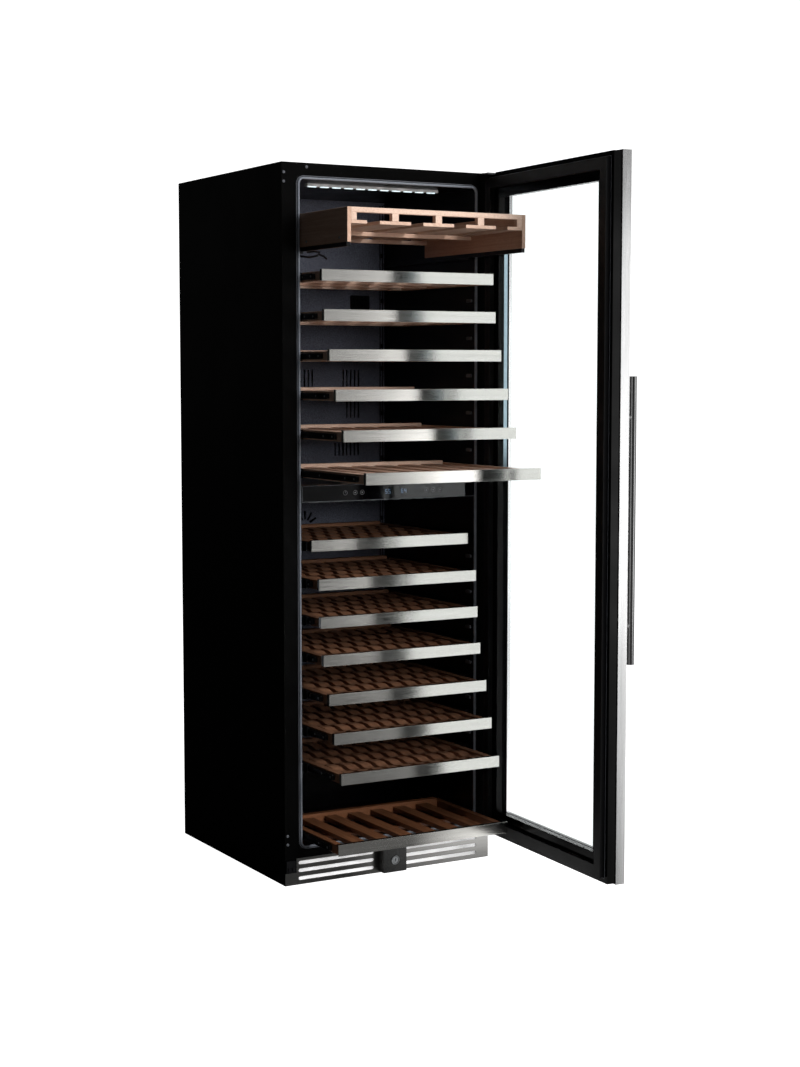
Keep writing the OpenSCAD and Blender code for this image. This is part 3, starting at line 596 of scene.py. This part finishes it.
def makeDisplayRack():
    low, high = boxMm("shelf_01_rack")
    plan = displayPlan
    x, y0, y1, z0, z1 = high.x, low.y, high.y, low.z, high.z
    inner = x - plan["board"]
    floorZ = z0 + plan["floorLift"]
    slatTop = floorZ + plan["slatThick"]
    bay = 2 * inner / plan["bays"]
    boards = startBoards()
    for side in (-1, 1):
        edges = sorted((side * inner, side * x))
        addBoard(boards, (edges[0], y0, z0), (edges[1], y1, z1), 1, 0.18)
        edges = sorted((side * inner, side * (inner - plan["post"] / 2 - plan["endPostExtra"])))
        addBoard(boards, (edges[0], y0, slatTop), (edges[1], y0 + plan["postDepth"], z1 - plan["bar"]), 2,
                 -0.2)
        edges = sorted((side * inner, side * (inner - plan["slat"] / 2)))
        addBoard(boards, (edges[0], y0, floorZ), (edges[1], y1, slatTop), 1, 0.0)
    addBoard(boards, (-inner, y0, z1 - plan["bar"]), (inner, y0 + plan["barDepth"], z1), 0, -0.3)
    for k in range(1, plan["bays"]):
        x0 = -inner + k * bay
        addBoard(boards, (x0 - plan["post"] / 2, y0, slatTop),
                 (x0 + plan["post"] / 2, y0 + plan["postDepth"], z1 - plan["bar"]), 2, -0.2)
        addBoard(boards, (x0 - plan["slat"] / 2, y0, floorZ), (x0 + plan["slat"] / 2, y1, slatTop), 1, 0.0)
    for y in (y1 - plan["batten"], y0 + (y1 - y0) / 2):
        addBoard(boards, (-inner, y, floorZ - plan["battenHeight"]), (inner, y + plan["batten"], floorZ),
                 0, 0.1)
    piece = makePiece("shelf_01_boards", boards["bm"], "beechUpper", "shelf_01", plan["edge"])
    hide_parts("shelf_01_rack")
    bm = bmesh.new()
    for side in (-1, 1):
        for at in plan["sideScrews"]:
            addDome(bm, (side * x, y0 + at, z0 + plan["sideScrewLift"]), (side, 0, 0), 3.2, 1.2, 12, True)
    for side in (-1, 1):
        for up in plan["backScrews"]:
            addDome(bm, (side * (x - plan["board"] / 2), y1 - 0.2, z0 + up), (0, 1, 0), 2.6, 0.8, 12, True)
    makePiece("shelf_01_screws", bm, "zinc", "shelf_01")


makeDisplayRack()


# cabinet details

cabinetPlan = {"innerHalf": 250, "floorZ": 98, "ceilingZ": 1740}
lipPlan = {"beadRadius": 3.0, "corner": 14, "beadY": -1.6,
           "outerRadius": 1.1, "outerCorner": 20, "outerStep": 8.2, "outerY": -0.9}


def addLoopTube(bm, low, high, corner, y, radius, sides=10):
    addTube(bm, [(u, y, v) for u, v in roundedLoop(low, high, corner, 6)], radius, sides, True)


def addLipTube(bm, grow, corner, y, radius):
    # a bead round the opening, grow outside it
    cab = cabinetPlan
    addLoopTube(bm, (-cab["innerHalf"] - grow, cab["floorZ"] - grow),
                (cab["innerHalf"] + grow, cab["ceilingZ"] + grow), corner, y, radius)


def makeLip():
    # the liner's rolled lip, drawn as painted highlights: a bright grey bead at the opening and a fine second
    # grey line outside it, standing in for the gloss on the black lip's rounded edges
    plan = lipPlan
    bm = bmesh.new()
    addLipTube(bm, plan["beadRadius"], plan["corner"], plan["beadY"], plan["beadRadius"])
    makePiece("liner_lip_bead_painted_highlight", bm, "lipMoulding", "cabinet")
    bm = bmesh.new()
    # the fine outer line is a painted highlight too, in the shared grey moulding look
    addLipTube(bm, plan["outerStep"], plan["outerCorner"], plan["outerY"], plan["outerRadius"])
    makePiece("liner_lip_edge_painted_highlight", bm, "greyMoulding", "cabinet")


capPlan = {"radius": 3.6, "height": 1.3, "upper": ((-292, 1755), (-292, 1733), (-230, 1770)),
           "lower": ((-290, 126), (-290, 104)), "hinge": ((268, 12), (268, -12), (284, 16)),
           "screwRadius": 4.0, "screwHeight": 1.6}


def makeCaps():
    # plugs in the spare hinge holes on the left, and the top hinge's screws
    bm = bmesh.new()
    for x, z in capPlan["upper"] + capPlan["lower"]:
        addDome(bm, (x, 0, z), (0, -1, 0), capPlan["radius"], capPlan["height"])
    makePiece("hinge_hole_plugs", bm, "greyMoulding", "cabinet")
    top = boxMm("hinge_top")[1].z
    bm = bmesh.new()
    for x, y in capPlan["hinge"]:
        addDome(bm, (x, y, top), (0, 0, 1), capPlan["screwRadius"], capPlan["screwHeight"], 16, True)
    makePiece("hinge_screws", bm, "zinc", "cabinet")


ledPlan = {"count": 11, "half": 12, "halfDepth": 3.5, "corner": 3.2, "drop": 1.6, "barHeight": 7,
           "lowerTop": 955.5}


def makeLeds():
    # a row of lamp chips under each bar: the upper ones are lit, the lower ones are not
    plan = ledPlan
    low, high = boxMm("led_bars")
    middleY = (low.y + high.y) / 2
    bars = (high.z - plan["barHeight"], plan["lowerTop"] - plan["barHeight"])
    for name, z, look in zip(("led_chips_upper", "led_chips_lower"), bars, ("chip", "chipUnlit")):
        bm = bmesh.new()
        for k in range(plan["count"]):
            x = low.x + (k + 0.5) * (high.x - low.x) / plan["count"]
            loop = roundedLoop((x - plan["half"], middleY - plan["halfDepth"]),
                               (x + plan["half"], middleY + plan["halfDepth"]), plan["corner"], 4)
            addPrism(bm, [(u, v, z) for u, v in loop], (0, 0, -plan["drop"]))
        makePiece(name, bm, look, "cabinet", 0.6)


fasciaPlan = {
    "face": -4, "ink": 0.25, "centreZ": 975.5, "trim": 1.3,
    "digitHeight": 11, "digitWidth": 6, "digitStroke": 1.3, "digitGap": 0.25,
    "digits": ((-14, "5"), (-5, "5"), (32, "6"), (41, "4")),
    "keys": ((-128, "bar"), (-100, "up"), (-80, "down"), (106, "up"), (126, "down"), (146, "dot")),
    "keyFace": -4.4, "ringRadius": 5.6, "ringThick": 0.4, "ringSet": 0.15,
    "arrowHalf": 2.8, "arrowFoot": 1.6, "arrowTip": 2.6, "dotHalf": 2.4, "dotCorner": 2.3,
}
segmentsOf = {"4": "bcfg", "5": "acdfg", "6": "acdefg"}


def addDigit(bm, x, mark):
    # a seven-segment figure: a top, b and c right, d foot, e and f left, g middle
    plan = fasciaPlan
    w, h, s = plan["digitWidth"], plan["digitHeight"] / 2, plan["digitStroke"]
    y, z = plan["face"], plan["centreZ"] - plan["digitHeight"] / 2
    bars = {"a": (0, 2 * h - s, w, s), "d": (0, 0, w, s), "g": (0, h - s / 2, w, s),
            "b": (w - s, h, s, h), "c": (w - s, 0, s, h), "e": (0, 0, s, h), "f": (0, h, s, h)}
    gap = plan["digitGap"]
    for key in segmentsOf[mark]:
        u, v, wide, tall = bars[key]
        addBlock(bm, (x + u + gap, y - plan["ink"], z + v + gap),
                 (x + u + wide - gap, y, z + v + tall - gap))


def makeFascia():
    # blue figures, ringed key marks and a grey edge line on the gloss strip
    plan = fasciaPlan
    low, high = boxMm("control_fascia")
    y, z = plan["face"], plan["centreZ"]
    bm = bmesh.new()
    for x, mark in plan["digits"]:
        addDigit(bm, x, mark)
    makePiece("fascia_digits", bm, "digit", "cabinet")
    keyY, half, dot = plan["keyFace"], plan["arrowHalf"], plan["dotHalf"]
    ink = keyY - plan["ink"]
    bm = bmesh.new()
    for x, mark in plan["keys"]:
        addRing(bm, x, keyY - plan["ringSet"], z, plan["ringRadius"], plan["ringThick"])
        if mark == "bar":
            addBlock(bm, (x - 0.5, ink, z - 0.5), (x + 0.5, keyY, z + 4.2))
        elif mark == "dot":
            loop = roundedLoop((-dot, -dot), (dot, dot), plan["dotCorner"], 4)
            addPrism(bm, [(x + u, ink, z + v) for u, v in loop], (0, plan["ink"], 0))
        else:
            way = 1 if mark == "up" else -1
            foot, tip = z - way * plan["arrowFoot"], z + way * plan["arrowTip"]
            addPrism(bm, [(x - half, ink, foot), (x + half, ink, foot), (x, ink, tip)], (0, plan["ink"], 0))
    makePiece("key_icons", bm, "print", "cabinet")
    bm = bmesh.new()
    t = plan["trim"]
    addBlock(bm, (low.x, y - 0.8, low.z - 0.2), (high.x, y + 1, low.z + t))
    addBlock(bm, (low.x, y - 0.8, low.z + t), (low.x + t * 1.4, y + 1, high.z))
    addBlock(bm, (low.x + t * 1.4, y - 0.8, high.z - t * 0.7), (high.x, y + 1, high.z))
    makePiece("fascia_edge_trim", bm, "greyMoulding", "cabinet", 0.25)


wallPlan = {"bossLength": 24, "bossHeight": 9, "bossDepth": 5, "bossY": 8, "bossCorner": 3, "below": 40,
            "dividerLow": 940, "dividerHigh": 1006}


def makeWallBosses():
    # small moulded stops below each slide, on both walls
    plan = wallPlan
    bm = bmesh.new()
    for number in range(2, 15):
        z = boxMm(f"shelf_{number:02d}_steel")[0].z - plan["below"]
        if plan["dividerLow"] < z < plan["dividerHigh"]:
            continue  # it would lie in the partition
        for side in (-1, 1):
            loop = roundedLoop((plan["bossY"], z), (plan["bossY"] + plan["bossLength"], z + plan["bossHeight"]),
                               plan["bossCorner"], 3)
            addPrism(bm, [(side * cabinetPlan["innerHalf"], u, v) for u, v in loop],
                     (-side * plan["bossDepth"], 0, 0))
    makePiece("slide_stops", bm, "greyMoulding", "cabinet", 0.8)


filterPlan = {"x": 172, "z": 1465, "wide": 48, "tall": 26, "proud": 3, "margin": 6, "corner": 4,
              "plate": 1.0, "barHalf": 1.2, "upright": 5, "across": 3}


def makeFilter():
    # the small grid in front of the charcoal filter, on the duct cover
    plan = filterPlan
    y = boxMm("duct_covers")[0].y
    bm = bmesh.new()
    x0, x1 = plan["x"] - plan["wide"] / 2, plan["x"] + plan["wide"] / 2
    z0, z1 = plan["z"] - plan["tall"] / 2, plan["z"] + plan["tall"] / 2
    margin, half, front = plan["margin"], plan["barHalf"], y - plan["proud"]
    loop = roundedLoop((x0 - margin, z0 - margin), (x1 + margin, z1 + margin), plan["corner"], 4)
    addPrism(bm, [(u, y, v) for u, v in loop], (0, -plan["plate"], 0))
    for k in range(plan["upright"]):
        x = x0 + k * plan["wide"] / (plan["upright"] - 1)
        addBlock(bm, (x - half, front, z0), (x + half, y - plan["plate"], z1))
    for k in range(plan["across"]):
        z = z0 + k * plan["tall"] / (plan["across"] - 1)
        addBlock(bm, (x0, front + 0.6, z - half), (x1, y - plan["plate"], z + half))
    makePiece("charcoal_filter_grid", bm, "moulding", "cabinet", 0.3)


kickPlan = {"rows": (16, 36, 55.5), "bladeHeight": 11, "bladeStart": 2.3, "bladeThick": 1.2, "depth": 6,
            "reach": 262, "coverFrom": 1, "coverTo": 26, "coverLow": 33, "coverHigh": 64, "coverFront": -7,
            "lugs": ((5, 12), (16, 22)), "lugFront": -9.5, "lugLow": 37, "lugHigh": 47}


def makeKick():
    # pale louvre blades with a painted glow behind the grille's slots, and the moulded cover in its upper left
    # notch
    plan = kickPlan
    low = boxMm("kick_grille")[0]
    bm = bmesh.new()
    for z in plan["rows"]:
        half = plan["bladeHeight"] / 2
        y, thick, back = plan["bladeStart"], plan["bladeThick"], plan["bladeStart"] + plan["depth"]
        outline = [(-plan["reach"], u, v) for u, v in
                   ((y, z - half), (y + thick, z - half), (back, z + half), (back - thick, z + half))]
        addPrism(bm, outline, (2 * plan["reach"], 0, 0))
    makePiece("louvre_blades", bm, "louvre", "cabinet", 0.2)
    bm = bmesh.new()
    addBlock(bm, (low.x + plan["coverFrom"], plan["coverFront"], plan["coverLow"]),
             (low.x + plan["coverTo"], 0.4, plan["coverHigh"]))
    for left, right in plan["lugs"]:
        addBlock(bm, (low.x + left, plan["lugFront"], plan["lugLow"]),
                 (low.x + right, plan["coverFront"], plan["lugHigh"]))
    makePiece("spare_hinge_cover", bm, "moulding", "cabinet", 1.4)


lockPlan = {"ring": 10.4, "ringThick": 1.5, "ringSet": 0.2}


def makeLock():
    # the rim round the lock's bore
    plan = lockPlan
    low, high = boxMm("lock_housing")
    centreZ = (low.z + high.z) / 2
    bm = bmesh.new()
    addRing(bm, 0, low.y - plan["ringSet"], centreZ, plan["ring"], plan["ringThick"], 36, 8)
    makePiece("lock_ring", bm, "zinc", "cabinet")


backPlan = {"screws": 8, "endInset": 30, "sideInset": 12, "screwRadius": 4.2, "screwHeight": 1.8,
            "rowX": (-180, 0, 180), "rowLift": 12, "rowDrop": 14,
            "beadX": (-150, 150), "beadHalf": 30, "beadLow": 300, "beadDrop": 140, "beadCorner": 29,
            "beadRadius": 1.8, "beadSet": 0.4}


def makeBack():
    # pan-head screws round the back cover, and two pressed stiffening beads
    plan = backPlan
    low, high = boxMm("back_cover")
    y = high.y
    bm = bmesh.new()
    rise = (high.z - low.z - 2 * plan["endInset"]) / (plan["screws"] - 1)
    places = [(side * (high.x - plan["sideInset"]), low.z + plan["endInset"] + k * rise)
              for k in range(plan["screws"]) for side in (-1, 1)]
    places += [(x, z) for x in plan["rowX"] for z in (low.z + plan["rowLift"], high.z - plan["rowDrop"])]
    for x, z in places:
        addDome(bm, (x, y, z), (0, 1, 0), plan["screwRadius"], plan["screwHeight"], 14, True)
    makePiece("back_screws", bm, "zinc", "cabinet")
    bm = bmesh.new()
    for x in plan["beadX"]:
        addLoopTube(bm, (x - plan["beadHalf"], plan["beadLow"]),
                    (x + plan["beadHalf"], high.z - plan["beadDrop"]),
                    plan["beadCorner"], y - plan["beadSet"], plan["beadRadius"], 8)
    makePiece("back_beads", bm, "backPaint", "cabinet")


cablePlan = {
    "radius": 2.6,
    "path": ((-246, 40, 1562), (-238, 18, 1556), (-222, 2, 1553), (-204, -6, 1557),
             (-196, -2, 1566), (-206, 10, 1568), (-222, 16, 1566)),
    "tail": ((-200, -4, 1561), (-188, -8, 1556), (-180, -9, 1549)),
}


def makeCable():
    # the loop of lead under the display rack, at the left wall
    bm = bmesh.new()
    for key in ("path", "tail"):
        addTube(bm, cablePlan[key], cablePlan["radius"], 10)
    makePiece("lamp_lead", bm, "rubber", "cabinet")


ductEdgePlan = {"wide": 5, "gap": 3, "proud": 1.6, "inset": 5, "endInset": 8,
                "splitLow": 950, "splitHigh": 1000, "clipPitch": 62, "clipFrom": 30,
                "clipTall": 12, "clipExtra": 2, "clipProud": 3.2}


def makeDuctEdges():
    # cover strips with clips down both edges of the duct cover
    plan = ductEdgePlan
    low, high = boxMm("duct_covers")
    bm = bmesh.new()
    for side in (-1, 1):
        x = side * (high.x - plan["inset"])
        for z0, z1 in ((low.z + plan["endInset"], plan["splitLow"]),
                       (plan["splitHigh"], high.z - plan["endInset"])):
            for shift in (0, plan["wide"] + plan["gap"]):
                edges = sorted((x - side * shift, x - side * (shift + plan["wide"] / 2)))
                addBlock(bm, (edges[0], low.y - plan["proud"], z0), (edges[1], low.y + 0.2, z1))
            edges = sorted((x, x - side * (plan["wide"] + plan["clipExtra"])))
            z = z0 + plan["clipFrom"]
            while z < z1 - plan["clipFrom"]:
                addBlock(bm, (edges[0], low.y - plan["clipProud"], z),
                         (edges[1], low.y, z + plan["clipTall"]))
                z += plan["clipPitch"]
    makePiece("duct_edge_strips", bm, "moulding", "cabinet", 0.3)


makeLip()
makeCable()
makeDuctEdges()
makeCaps()
makeLeds()
makeFascia()
makeWallBosses()
makeFilter()
makeKick()
makeLock()
makeBack()
print("cabinet details done")


# door details, drawn with the door shut and then turned on its pins

doorPlan = {"openAngle": 87, "half": 297.5, "low": 74, "high": 1780, "face": -60, "back": -14,
            "lineInset": 14.2, "lineRadius": 0.9, "lineCorner": 4,
            "spacerInset": 50, "spacerWide": 9, "spacerFront": -46, "spacerBack": -35.4,
            "barX": -255.5, "barY": -97, "postZ": (681, 1171), "postCollar": 8.2, "footThick": 2.2,
            "barSeat": 9.2, "seatThick": 1.8, "endCollar": 9.9, "endFrom": 2, "endTo": 0.2}
hinge = next(j for j in frame["joints"] if j["name"] == "door_hinge")
pin = Vector(hinge["pos_m"]) / mm
doorTurn = (Matrix.Translation(pin) @ Matrix.Rotation(math.radians(doorPlan["openAngle"]), 4, "Z")
            @ Matrix.Translation(-pin))


def addFrameStrip(bm, inset, wide, y0, y1):
    # four butted bars that make a rectangle, inset from the door's outline
    plan = doorPlan
    x, z0, z1 = plan["half"] - inset, plan["low"] + inset, plan["high"] - inset
    addBlock(bm, (-x, y0, z0), (x, y1, z0 + wide))
    addBlock(bm, (-x, y0, z1 - wide), (x, y1, z1))
    addBlock(bm, (-x, y0, z0 + wide), (-x + wide, y1, z1 - wide))
    addBlock(bm, (x - wide, y0, z0 + wide), (x, y1, z1 - wide))


def makeDoor():
    # the bead on the gasket, the spacer bar between the panes, and the handle's collars
    plan = doorPlan
    bm = bmesh.new()
    low = (-plan["half"] + plan["lineInset"], plan["low"] + plan["lineInset"])
    high = (plan["half"] - plan["lineInset"], plan["high"] - plan["lineInset"])
    addLoopTube(bm, low, high, plan["lineCorner"], plan["back"] + 0.1, plan["lineRadius"])
    makePiece("gasket_bead", bm, "greyMoulding", "door", turn=doorTurn)
    bm = bmesh.new()
    addFrameStrip(bm, plan["spacerInset"], plan["spacerWide"], plan["spacerFront"], plan["spacerBack"])
    # the spacer bar carries a painted reflection over part of its height
    makePiece("glass_spacer", bm, "spacer", "door", 0.4, doorTurn)
    bm = bmesh.new()
    x, seat = plan["barX"], plan["barY"] + plan["barSeat"]
    for z in plan["postZ"]:
        for y, end in ((plan["face"], plan["face"] - plan["footThick"]), (seat, seat + plan["seatThick"])):
            addTube(bm, [(x, y, z), (x, end, z)], plan["postCollar"], 24)
    barLow, barHigh = boxMm("handle_bar")
    for z, way in ((barLow.z, -1), (barHigh.z, 1)):
        ends = [(x, plan["barY"], z - way * step) for step in (plan["endFrom"], plan["endTo"])]
        addTube(bm, ends, plan["endCollar"], 24)
    makePiece("handle_collars", bm, "bar", "door", 0.5, doorTurn)


makeDoor()
print("door details done")


# floor, light and camera

# sizes and places on the stage are in metres
stagePlan = {
    "floorHalf": 40.0, "floorColour": "#ffffff", "floorGlow": 1.2,
    "floorGrey": "#9b9b9b", "floorPale": "#a3a3a3", "floorLeft": "#3c3c3c", "floorMirrored": "#1c1c1c",
    "leftFrom": -0.9, "leftTo": -0.1, "across": (0.873, 0.488, 0.0),
    "mirroredLow": 0.12, "mirroredHigh": 2.3, "mirroredFrom": -0.11, "mirroredTo": 0.19,
    "mirroredAside": 0.2, "asideFrom": 0.36, "asideTo": 0.6, "frontFrom": -0.3, "frontTo": 0.1,
    "backdrop": 1.3, "dark": 0.015, "bright": 0.5, "darkSide": -0.35, "brightSide": 0.6,
}


def seenByCamera(tree):
    # 1 for what the camera sees, straight or through glass, and 0 for light that the object receives
    rays = addNode(tree, "LightPath")
    return addNode(tree, "Math", {"operation": "MAXIMUM"},
                   {0: rays.outputs["Is Camera Ray"], 1: rays.outputs["Is Transmission Ray"]}).outputs[0]


def makeFloor():
    # white for the camera; where steel mirrors it, a painted reflection: a glowing pattern that runs from dark
    # on the left to bright on the right, fades further right and stops behind the cabinet's front
    plan = stagePlan
    bm = bmesh.new()
    bmesh.ops.create_grid(bm, x_segments=2, y_segments=2, size=plan["floorHalf"])
    mesh = bpy.data.meshes.new("studio_floor")
    bm.to_mesh(mesh)
    bm.free()
    floor = bpy.data.objects.new("studio_floor", mesh)
    bpy.context.scene.collection.objects.link(floor)
    material, tree, shader = startMaterial("paper_white_painted_reflection",
                                           {"Roughness": 0.9, "Specular IOR Level": 0.0})
    where = placeOf(tree)
    parts = addNode(tree, "SeparateXYZ", links={"Vector": where}).outputs
    glossy = addNode(tree, "LightPath").outputs["Is Glossy Ray"]
    paper = blendColours(tree, noiseAt(tree, where, 900.0), plan["floorGrey"], plan["floorPale"])
    # the floor's colour is darker on the left, so that it bounces less light onto the object's left side, and
    # near black to reflections
    lit = rangeOf(tree, parts["X"], 0, 1, plan["leftFrom"], plan["leftTo"])
    toned = blendColours(tree, lit, plan["floorLeft"], paper)
    tree.links.new(blendColours(tree, glossy, toned, plan["floorMirrored"]), shader.inputs["Base Color"])
    shader.inputs["Emission Color"].default_value = linearColour(plan["floorColour"])
    across = addNode(tree, "VectorMath", {"operation": "DOT_PRODUCT", 1: plan["across"]}, {0: where})
    mirrored = rangeOf(tree, across.outputs["Value"], plan["mirroredLow"], plan["mirroredHigh"],
                       plan["mirroredFrom"], plan["mirroredTo"])
    aside = rangeOf(tree, across.outputs["Value"], 1, plan["mirroredAside"],
                    plan["asideFrom"], plan["asideTo"])
    front = rangeOf(tree, parts["Y"], 1, 0, plan["frontFrom"], plan["frontTo"])
    near = addNode(tree, "Math", {"operation": "MULTIPLY"}, {0: front, 1: aside}).outputs[0]
    shown = addNode(tree, "Math", {"operation": "MULTIPLY"}, {0: near, 1: mirrored}).outputs[0]
    glow = addNode(tree, "Math", {"operation": "MULTIPLY"}, {0: glossy, 1: shown}).outputs[0]
    strength = addNode(tree, "Mix", {"data_type": "FLOAT", 3: plan["floorGlow"]},
                       {0: seenByCamera(tree), 2: glow})
    tree.links.new(strength.outputs[0], shader.inputs["Emission Strength"])
    mesh.materials.append(material)


def makeWorld():
    # a white backdrop; the studio itself is dark on the left and pale on the right
    plan = stagePlan
    world = bpy.data.worlds.new("studio")
    bpy.context.scene.world = world
    world.use_nodes = True
    tree = world.node_tree
    tree.nodes.clear()
    ways = addNode(tree, "SeparateXYZ", links={"Vector": addNode(tree, "TexCoord").outputs["Generated"]})
    room = rangeOf(tree, ways.outputs["X"], plan["dark"], plan["bright"],
                   plan["darkSide"], plan["brightSide"])
    strength = addNode(tree, "Mix", {"data_type": "FLOAT", 3: plan["backdrop"]},
                       {0: seenByCamera(tree), 2: room})
    back = addNode(tree, "Background", {"Color": (1, 1, 1, 1)}, {"Strength": strength.outputs[0]})
    addNode(tree, "OutputWorld", links={"Surface": back.outputs["Background"]})


def addLamp(name, place, aim, size, watts, mirrored=True):
    # a soft white panel that the camera never sees; mirrored says whether gloss shows it
    lamp = bpy.data.lights.new(name, "AREA")
    lamp.shape = "RECTANGLE"
    lamp.size, lamp.size_y = size
    lamp.energy = watts
    holder = bpy.data.objects.new(name, lamp)
    bpy.context.scene.collection.objects.link(holder)
    holder.location = place
    holder.rotation_euler = (Vector(aim) - Vector(place)).to_track_quat("-Z", "Y").to_euler()
    holder.visible_camera = False
    holder.visible_transmission = False
    holder.visible_glossy = mirrored


lampPlan = {
    "card_right": {"place": (2.48, -2.89, 1.05), "aim": (1.02, -0.27, 1.05), "size": (1.7, 1.6),
                   "watts": 14},
    "key_right": {"place": (1.3, -4.6, 2.6), "aim": (0.1, 0.0, 1.0), "size": (1.6, 1.6), "watts": 125,
                  "mirrored": False},
    "fill_front": {"place": (0.3, -4.8, 1.7), "aim": (0.0, 0.0, 1.0), "size": (0.9, 0.9), "watts": 75,
                   "mirrored": False},
    "top_soft": {"place": (1.3, -1.4, 4.2), "aim": (0.4, -0.3, 0.0), "size": (2.2, 2.2), "watts": 60,
                 "mirrored": False},
    "rim_back": {"place": (0.9, 4.2, 2.2), "aim": (0.0, 0.6, 0.9), "size": (2.0, 2.0), "watts": 80},
}


cameraPlan = {"lens": 63.73, "sensor": 36, "place": (-2.3334, -4.1386, 1.2782), "turn": (85.07, 0.0, -29.74)}


def makeCamera():
    # an upright view from the front left, a little below the racks' upper third
    plan = cameraPlan
    camera = bpy.data.cameras.new("camera")
    camera.lens = plan["lens"]
    camera.sensor_width = plan["sensor"]
    holder = bpy.data.objects.new("camera", camera)
    bpy.context.scene.collection.objects.link(holder)
    holder.location = plan["place"]
    holder.rotation_euler = [math.radians(a) for a in plan["turn"]]
    bpy.context.scene.camera = holder


makeFloor()
makeWorld()
for name, plan in lampPlan.items():
    addLamp(name, **plan)
makeCamera()
bpy.context.scene.view_settings.view_transform = "Standard"
print("stage done")
